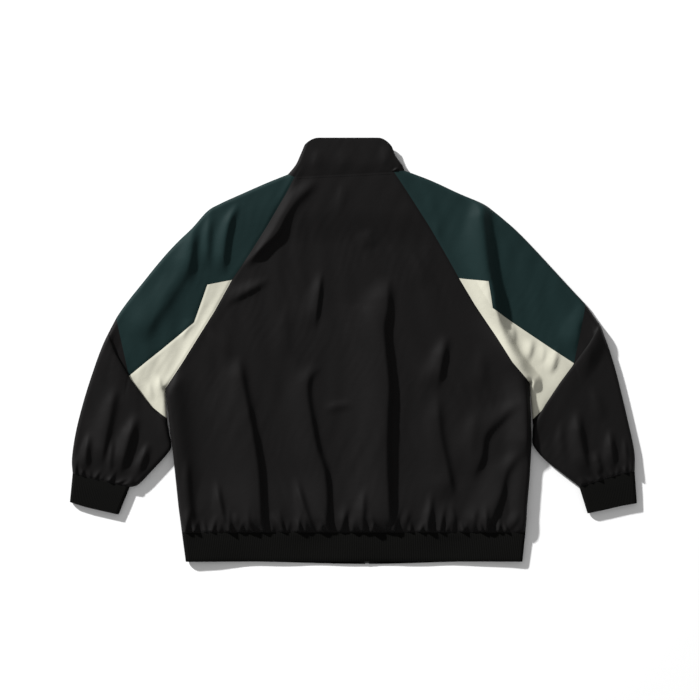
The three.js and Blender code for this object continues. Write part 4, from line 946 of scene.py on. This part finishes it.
def woven_nylon(name, colour, roughness, sheen, shine, thread, crinkle):
    """Plain-woven nylon taffeta: a tight flat weave with a dull sheen and a papery crinkle.
    The real thread is about 0.25 mm, too fine to show, so it is drawn at thread metres."""
    material, tree = new_material(name)
    where = node(tree, "ShaderNodeTexCoord").outputs["Object"]
    warp = node(tree, "ShaderNodeTexWave", {"Vector": where, "Scale": WAVE / thread, "Distortion": 0.4},
                bands_direction="X")
    weft = node(tree, "ShaderNodeTexWave", {"Vector": where, "Scale": WAVE / thread, "Distortion": 0.4},
                bands_direction="Y")
    weave = node(tree, "ShaderNodeMath", {0: warp.outputs["Fac"], 1: weft.outputs["Fac"]}, operation="MULTIPLY")
    soft = node(tree, "ShaderNodeTexNoise", {"Vector": where, "Scale": 1 / crinkle, "Detail": 3.0, "Roughness": 0.55,
                                            "Distortion": 0.6})
    patchy = node(tree, "ShaderNodeTexNoise", {"Vector": where, "Scale": 9.0, "Detail": 2.0})
    shade = node(tree, "ShaderNodeMapRange", {"Value": patchy.outputs["Fac"], "To Min": 0.86, "To Max": 1.14})
    tint = node(tree, "ShaderNodeVectorMath", {0: colour[:3], "Scale": shade.outputs["Result"]}, operation="SCALE")
    rough = node(tree, "ShaderNodeMapRange", {"Value": patchy.outputs["Fac"], "To Min": roughness - 0.05,
                                             "To Max": roughness + 0.05})
    grain = node(tree, "ShaderNodeBump", {"Height": weave.outputs[0], "Strength": 0.25, "Distance": 0.0002})
    bump = node(tree, "ShaderNodeBump", {"Height": soft.outputs["Fac"], "Strength": 0.3, "Distance": 0.0012,
                                         "Normal": grain.outputs["Normal"]})
    shader = node(tree, "ShaderNodeBsdfPrincipled", {
        "Base Color": tint.outputs[0], "Roughness": rough.outputs["Result"], "Sheen Weight": sheen,
        "Sheen Roughness": 0.45, "Specular IOR Level": shine, "Normal": bump.outputs["Normal"]})
    node(tree, "ShaderNodeOutputMaterial", {"Surface": shader.outputs["BSDF"]})
    return material


def rib_knit(name, colour, turn):
    """Cotton and elastane rib: soft dull yarn that swallows light. The ribs are in the mesh, so this adds the knitted
    stitches along them, drawn 1.2 mm apart so that they show, and the fluff. turn is the angle of the seam."""
    material, tree = new_material(name)
    where = node(tree, "ShaderNodeTexCoord").outputs["Object"]
    lie = node(tree, "ShaderNodeMapping", {"Vector": where, "Rotation": (0, 0, -turn)}).outputs["Vector"]
    stitches = node(tree, "ShaderNodeTexWave", {"Vector": lie, "Scale": WAVE / 0.0012, "Distortion": 1.0},
                    bands_direction="Y")
    fluff = node(tree, "ShaderNodeTexNoise", {"Vector": where, "Scale": 700.0, "Detail": 2.0})
    mixed = node(tree, "ShaderNodeMath", {0: stitches.outputs["Fac"], 1: fluff.outputs["Fac"]}, operation="ADD")
    bump = node(tree, "ShaderNodeBump", {"Height": mixed.outputs[0], "Strength": 0.3, "Distance": 0.0002})
    shade = node(tree, "ShaderNodeMapRange", {"Value": fluff.outputs["Fac"], "To Min": 0.7, "To Max": 1.3})
    tint = node(tree, "ShaderNodeVectorMath", {0: colour[:3], "Scale": shade.outputs["Result"]}, operation="SCALE")
    shader = node(tree, "ShaderNodeBsdfPrincipled", {
        "Base Color": tint.outputs[0], "Roughness": 0.95, "Specular IOR Level": 0.05,
        "Normal": bump.outputs["Normal"]})
    node(tree, "ShaderNodeOutputMaterial", {"Surface": shader.outputs["BSDF"]})
    return material


def woven_tape(name, colour):
    """Polyester zip tape: a close herringbone of dull thread."""
    material, tree = new_material(name)
    where = node(tree, "ShaderNodeTexCoord").outputs["Object"]
    twill = node(tree, "ShaderNodeTexWave", {"Vector": where, "Scale": WAVE / 0.0009, "Distortion": 0.5},
                 bands_direction="DIAGONAL")
    bump = node(tree, "ShaderNodeBump", {"Height": twill.outputs["Fac"], "Strength": 0.4, "Distance": 0.0002})
    shader = node(tree, "ShaderNodeBsdfPrincipled", {"Base Color": (*colour[:3], 1), "Roughness": 0.85,
                                                     "Specular IOR Level": 0.1, "Normal": bump.outputs["Normal"]})
    node(tree, "ShaderNodeOutputMaterial", {"Surface": shader.outputs["BSDF"]})
    return material


def lacquered_zinc(name, colour):
    """Die-cast zinc with black lacquer: smooth and semi-gloss, with faint casting unevenness."""
    material, tree = new_material(name)
    where = node(tree, "ShaderNodeTexCoord").outputs["Object"]
    uneven = node(tree, "ShaderNodeTexNoise", {"Vector": where, "Scale": 400.0, "Detail": 2.0})
    rough = node(tree, "ShaderNodeMapRange", {"Value": uneven.outputs["Fac"], "To Min": 0.24, "To Max": 0.4})
    bump = node(tree, "ShaderNodeBump", {"Height": uneven.outputs["Fac"], "Strength": 0.15, "Distance": 0.0001})
    shader = node(tree, "ShaderNodeBsdfPrincipled", {
        "Base Color": (*colour[:3], 1), "Metallic": 0.9, "Roughness": rough.outputs["Result"],
        "Normal": bump.outputs["Normal"]})
    node(tree, "ShaderNodeOutputMaterial", {"Surface": shader.outputs["BSDF"]})
    return material


def acetal(name, colour):
    """Injection-moulded acetal of the zip's teeth: slightly waxy."""
    material, tree = new_material(name)
    where = node(tree, "ShaderNodeTexCoord").outputs["Object"]
    fine = node(tree, "ShaderNodeTexNoise", {"Vector": where, "Scale": 600.0})
    rough = node(tree, "ShaderNodeMapRange", {"Value": fine.outputs["Fac"], "To Min": 0.4, "To Max": 0.55})
    shader = node(tree, "ShaderNodeBsdfPrincipled", {
        "Base Color": (*colour[:3], 1), "Roughness": rough.outputs["Result"]})
    node(tree, "ShaderNodeOutputMaterial", {"Surface": shader.outputs["BSDF"]})
    return material


def sewing_thread(name, colour):
    """Spun polyester thread: twisted, so light breaks along it."""
    material, tree = new_material(name)
    where = node(tree, "ShaderNodeTexCoord").outputs["Object"]
    twist = node(tree, "ShaderNodeTexWave", {"Vector": where, "Scale": 120.0}, bands_direction="DIAGONAL")
    bump = node(tree, "ShaderNodeBump", {"Height": twist.outputs["Fac"], "Strength": 0.5, "Distance": 0.0001})
    shader = node(tree, "ShaderNodeBsdfPrincipled", {"Base Color": (*colour[:3], 1), "Roughness": 0.7,
                                                     "Specular IOR Level": 0.12, "Normal": bump.outputs["Normal"]})
    node(tree, "ShaderNodeOutputMaterial", {"Surface": shader.outputs["BSDF"]})
    return material


NYLON_SHEEN, CREAM_SHINE = 0.02, 0.25
MADE = {}


def once(name, make, *args):
    """A material that several pieces share is made once."""
    if name not in MADE:
        MADE[name] = make(name, *args)
    return MADE[name]


def nylon(which):
    """The shell's nylon in black, green or cream. Light cloth shows its shine more."""
    look = bpy.context.scene.jacket_look
    shine = CREAM_SHINE if which == "cream" else look.shine
    return once(f"{which} nylon taffeta", woven_nylon, tuple(getattr(look, which)), look.roughness, NYLON_SHEEN, shine,
                look.thread, look.crinkle)


# ---------------------------------------------------------------- what a user can change


class JacketLook(bpy.types.PropertyGroup):
    black: bpy.props.FloatVectorProperty(name="Black shell", description="Colour of the black nylon", subtype="COLOR",
                                         default=linear("#121111"), min=0, max=1)
    green: bpy.props.FloatVectorProperty(name="Green shell", description="Colour of the upper sleeves", subtype="COLOR",
                                         default=linear("#152525"), min=0, max=1)
    cream: bpy.props.FloatVectorProperty(name="Cream shell", description="Colour of the underarm panels",
                                         subtype="COLOR", default=linear("#bbb9aa"), min=0, max=1)
    rib: bpy.props.FloatVectorProperty(name="Rib knit", description="Colour of the hem band and cuffs", subtype="COLOR",
                                       default=linear("#0c0c0b"), min=0, max=1)
    metal: bpy.props.FloatVectorProperty(name="Slider", description="Colour of the slider and its pull",
                                         subtype="COLOR", default=linear("#2b2b2c"), min=0, max=1)
    roughness: bpy.props.FloatProperty(name="Roughness", description="Roughness of the dark nylon", default=0.62,
                                       min=0, max=1, subtype="FACTOR")
    shine: bpy.props.FloatProperty(name="Shine", description="Strength of the dark nylon's reflections", default=0.06,
                                   min=0, max=1, subtype="FACTOR")
    thread: bpy.props.FloatProperty(name="Thread spacing", description="Drawn spacing of the weave", default=0.0012,
                                    min=0.0002, max=0.01, unit="LENGTH")
    crinkle: bpy.props.FloatProperty(name="Crinkle", description="Size of the fine creasing", default=0.022,
                                     min=0.002, max=0.1, unit="LENGTH")


class JacketSizes(bpy.types.PropertyGroup):
    shell: bpy.props.FloatProperty(name="Shell", description="Thickness of the shell cloth with its lining",
                                   default=0.0015, min=0.0003, max=0.004, unit="LENGTH")
    knit: bpy.props.FloatProperty(name="Knit", description="Thickness of the doubled rib", default=0.0022,
                                  min=0.0005, max=0.005, unit="LENGTH")
    stitch: bpy.props.FloatProperty(name="Stitch length", description="Length of one stitch", default=0.003,
                                    min=0.001, max=0.01, unit="LENGTH")
    tooth_pitch: bpy.props.FloatProperty(name="Tooth pitch", description="Distance from tooth to tooth on one tape",
                                         default=0.003, min=0.001, max=0.01, unit="LENGTH")


# ---------------------------------------------------------------- operators


class JACKET_OT_back(bpy.types.Operator):
    """Build the back panel"""

    bl_idname = "jacket.back"
    bl_label = "Back"

    def execute(self, context):
        grid = back_grid()
        cloth("back_panel", [grid], (), context.scene.jacket_sizes.shell, nylon("black"),
              "back")
        return {"FINISHED"}


class JACKET_OT_fronts(bpy.types.Operator):
    """Build the two front panels, which lie on the surface"""

    bl_idname = "jacket.fronts"
    bl_label = "Fronts"

    def execute(self, context):
        for half in BOTH:
            cloth(f"front_panel_{half.name}", [front_grid(half)], (0,), context.scene.jacket_sizes.shell,
                  nylon("black"), f"front_{half.name}")
        return {"FINISHED"}


class JACKET_OT_sleeves(bpy.types.Operator):
    """Build the three cloth pieces of each sleeve and its rib cuff"""

    bl_idname = "jacket.sleeves"
    bl_label = "Sleeves and cuffs"

    def execute(self, context):
        sizes = context.scene.jacket_sizes
        for half in BOTH:
            upper, under = sleeve(half)
            side = half.name
            cloth(f"upper_sleeve_{side}", [upper["top"], under["top"]], (1,), sizes.shell, nylon("green"),
                  f"sleeve_top_{side}")
            cloth(f"underarm_panel_{side}", [upper["panel"], under["panel"]], (1,), sizes.shell, nylon("cream"),
                  f"sleeve_under_{side}")
            cloth(f"lower_sleeve_{side}", [upper["lower"], under["lower"]], (1,), sizes.shell, nylon("black"),
                  f"sleeve_lower_{side}")
            seam = half.cuff_seam[-1] - half.cuff_seam[0]
            seam *= np.sign(seam[0])
            knit = once(f"black rib knit, {side} cuff", rib_knit, tuple(context.scene.jacket_look.rib),
                        float(np.arctan2(seam[1], seam[0])))
            cloth(f"rib_cuff_{side}", [upper["cuff"], under["cuff"]], (1,), sizes.knit, knit,
                  f"cuff_{side}")
        return {"FINISHED"}


class JACKET_OT_hem_band(bpy.types.Operator):
    """Build the ribbed hem band, open at the zip"""

    bl_idname = "jacket.hem_band"
    bl_label = "Hem band"

    def execute(self, context):
        sizes = context.scene.jacket_sizes
        knit = once("black rib knit", rib_knit, tuple(context.scene.jacket_look.rib), 0.0)
        grids = band_grids()
        cloth("rib_hem_band", grids, (1, 2), sizes.knit, knit, "hem_band")
        return {"FINISHED"}


class JACKET_OT_collar(bpy.types.Operator):
    """Build the stand collar, flattened with its front under its back"""

    bl_idname = "jacket.collar"
    bl_label = "Collar"

    def execute(self, context):
        layers = {half.name: [layer["top"][0] for layer in sleeve(half)] for half in BOTH}
        back = back_grid()[-1]
        fronts = {half.name: front_grid(half)[-1] for half in BOTH}
        neck_back = np.concatenate([layers["left"][0], back[1:], layers["right"][0][::-1][1:]])
        neck = {k: np.concatenate([layers[k][1], fronts[k][1:]]) for k in layers}
        cloth("stand_collar", collar_grids(neck_back, neck["left"], neck["right"]), (1, 2),
              context.scene.jacket_sizes.knit, nylon("black"),
              "collar")
        return {"FINISHED"}


class JACKET_OT_zip(bpy.types.Operator):
    """Build the zip: two woven tapes, their moulded teeth and the box at the bottom, and give the slider its metal"""

    bl_idname = "jacket.zip"
    bl_label = "Zip"

    def execute(self, context):
        sizes, look = context.scene.jacket_sizes, context.scene.jacket_look
        tape = once("black polyester zip tape", woven_tape, linear("#121212"))
        plastic = once("black moulded acetal", acetal, linear("#161616"))
        line = zip_line(4)
        pitch = sizes.tooth_pitch * 1000
        for half in BOTH:
            side = half.name
            across = np.stack([half.sign * TAPE_ACROSS, 0 * TAPE_ACROSS, 0 * TAPE_ACROSS + TAPE_Z], -1)
            cloth(f"zip_tape_{side}", [line[:, None] + across], (0,), TAPE_THICK / 1000, tape,
                  f"zip_{side}")
            places = zip_line(0.1)
            run = np.linalg.norm(np.diff(places, axis=0), axis=1).sum()
            count = int(run / pitch) - TEETH_FEWER
            shift = FIRST_TOOTH + (0.5 if half.sign > 0 else 0.0)
            places = place_on(places, (np.arange(count) + shift) * pitch / run)
            forward = direction(places)
            sideways = np.tile([float(half.sign), 0, 0], (count, 1))
            tooth = moulded(TOOTH, TOOTH_LEVELS, TOOTH_CENTRE)
            verts, faces = repeated(*tooth, places, forward, sideways, np.cross([1.0, 0, 0], forward))
            if half.sign < 0:
                faces = [face[::-1] for face in faces]
            teeth = solid(f"zip_teeth_{side}", verts, faces, plastic)
            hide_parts(f"zip_{side}")
        verts, faces = moulded(ZIP_BOX, ZIP_BOX_LEVELS)
        verts[:, :2] += (zip_x(ZIP_BOX_Y), ZIP_BOX_Y)
        solid("zip_box", verts, [face[::-1] for face in faces], plastic)
        metal = once("black lacquered zinc", lacquered_zinc, tuple(look.metal))
        for name in ("zip_slider", "zip_pull"):
            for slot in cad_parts[name].material_slots:
                slot.material = metal
        return {"FINISHED"}


class JACKET_OT_stitching(bpy.types.Operator):
    """Sew the rows of stitches beside the neck, hem and cuff seams"""

    bl_idname = "jacket.stitching"
    bl_label = "Stitching"

    def execute(self, context):
        length = context.scene.jacket_sizes.stitch * 1000
        thread = once("black polyester thread", sewing_thread, linear("#121112"))

        def on_back(a, b, inset):
            """Points of a straight seam on the back, without some at both ends."""
            plan = mix(np.array(a, float), np.array(b, float), np.linspace(0, 1, 400)[:, None])
            plan = plan[inset:-inset]
            return at_height(plan, body_back(plan) + STITCH_LIFT)

        neck = np.stack([LEFT.raglan[0], RIGHT.raglan[0]]) - (0, NECK_STITCH)
        hem = np.stack([LEFT.side[0], RIGHT.side[0]]) + (0, HEM_STITCH)
        stitch_row("neck_stitches", on_back(*neck, 8), length, thread)
        stitch_row("hem_stitches", on_back(*hem, 6), length, thread)
        for half in BOTH:
            grid = sleeve(half)[0]["lower"]
            middle = grid[:, grid.shape[1] // 2, :2]
            to_seam = np.linalg.norm(middle - middle[-1], axis=-1)
            line = grid[np.abs(to_seam - CUFF_STITCH).argmin(), 6:-6] + (0, 0, STITCH_LIFT)
            stitch_row(f"cuff_stitches_{half.name}", line, length, thread)
        return {"FINISHED"}


class JACKET_OT_stage(bpy.types.Operator):
    """Set the floor, the lights and the camera"""

    bl_idname = "jacket.stage"
    bl_label = "Stage"

    def execute(self, context):
        scene = context.scene
        size = FLOOR_HALF
        mesh = bpy.data.meshes.new("floor")
        mesh.from_pydata([(-size, -size, 0), (size, -size, 0), (size, size, 0), (-size, size, 0)], [], [(0, 1, 2, 3)])
        material, tree = new_material("white paper floor")
        shader = node(tree, "ShaderNodeBsdfPrincipled", {"Base Color": (0.9, 0.9, 0.9, 1), "Roughness": 0.9})
        node(tree, "ShaderNodeOutputMaterial", {"Surface": shader.outputs["BSDF"]})
        mesh.materials.append(material)
        floor = bpy.data.objects.new("floor", mesh)
        scene.collection.objects.link(floor)
        world = bpy.data.worlds.new("studio")
        world.use_nodes = True
        sky = world.node_tree.nodes["Background"].inputs
        sky["Color"].default_value = (1, 1, 1, 1)
        sky["Strength"].default_value = SKY_STRENGTH
        scene.world = world
        scene.view_settings.view_transform = "Standard"
        lamp = bpy.data.lights.new("key", "AREA")
        lamp.energy, lamp.size = KEY_POWER, KEY_WIDTH
        key = bpy.data.objects.new("key", lamp)
        scene.collection.objects.link(key)
        x, y, z = key.location = KEY_PLACE
        key.rotation_euler = (np.arccos(z / np.linalg.norm(KEY_PLACE)), 0, np.arctan2(-x, y) + np.pi)
        camera = bpy.data.cameras.new("camera")
        camera.lens, camera.sensor_width, camera.clip_end = LENS, SENSOR, 20
        eye = bpy.data.objects.new("camera", camera)
        scene.collection.objects.link(eye)
        eye.location = (*VIEW_CENTRE, VIEW_HALF / (SENSOR / 2 / LENS) + VIEW_LEVEL)
        scene.camera = eye
        return {"FINISHED"}


class JACKET_PT_panel(bpy.types.Panel):
    bl_label = "Track jacket"
    bl_idname = "JACKET_PT_panel"
    bl_space_type, bl_region_type, bl_category = "VIEW_3D", "UI", "Jacket"

    def draw(self, context):
        for step in STEPS_IN_ORDER:
            self.layout.operator(f"jacket.{step}")
        for group in (context.scene.jacket_look, context.scene.jacket_sizes):
            for key in group.__annotations__:
                self.layout.prop(group, key)


STEPS_IN_ORDER = ("stage", "back", "fronts", "sleeves", "hem_band", "collar", "zip", "stitching")
CLASSES = (JacketLook, JacketSizes, JACKET_OT_back, JACKET_OT_fronts, JACKET_OT_sleeves, JACKET_OT_hem_band,
           JACKET_OT_collar, JACKET_OT_zip, JACKET_OT_stitching, JACKET_OT_stage, JACKET_PT_panel)


def register():
    for made in CLASSES:
        bpy.utils.register_class(made)
    bpy.types.Scene.jacket_look = bpy.props.PointerProperty(type=JacketLook)
    bpy.types.Scene.jacket_sizes = bpy.props.PointerProperty(type=JacketSizes)


def unregister():
    del bpy.types.Scene.jacket_sizes
    del bpy.types.Scene.jacket_look
    for made in reversed(CLASSES):
        bpy.utils.unregister_class(made)


def main():
    register()
    for step in STEPS_IN_ORDER:
        getattr(bpy.ops.jacket, step)()


if __name__ == "__main__":
    main()
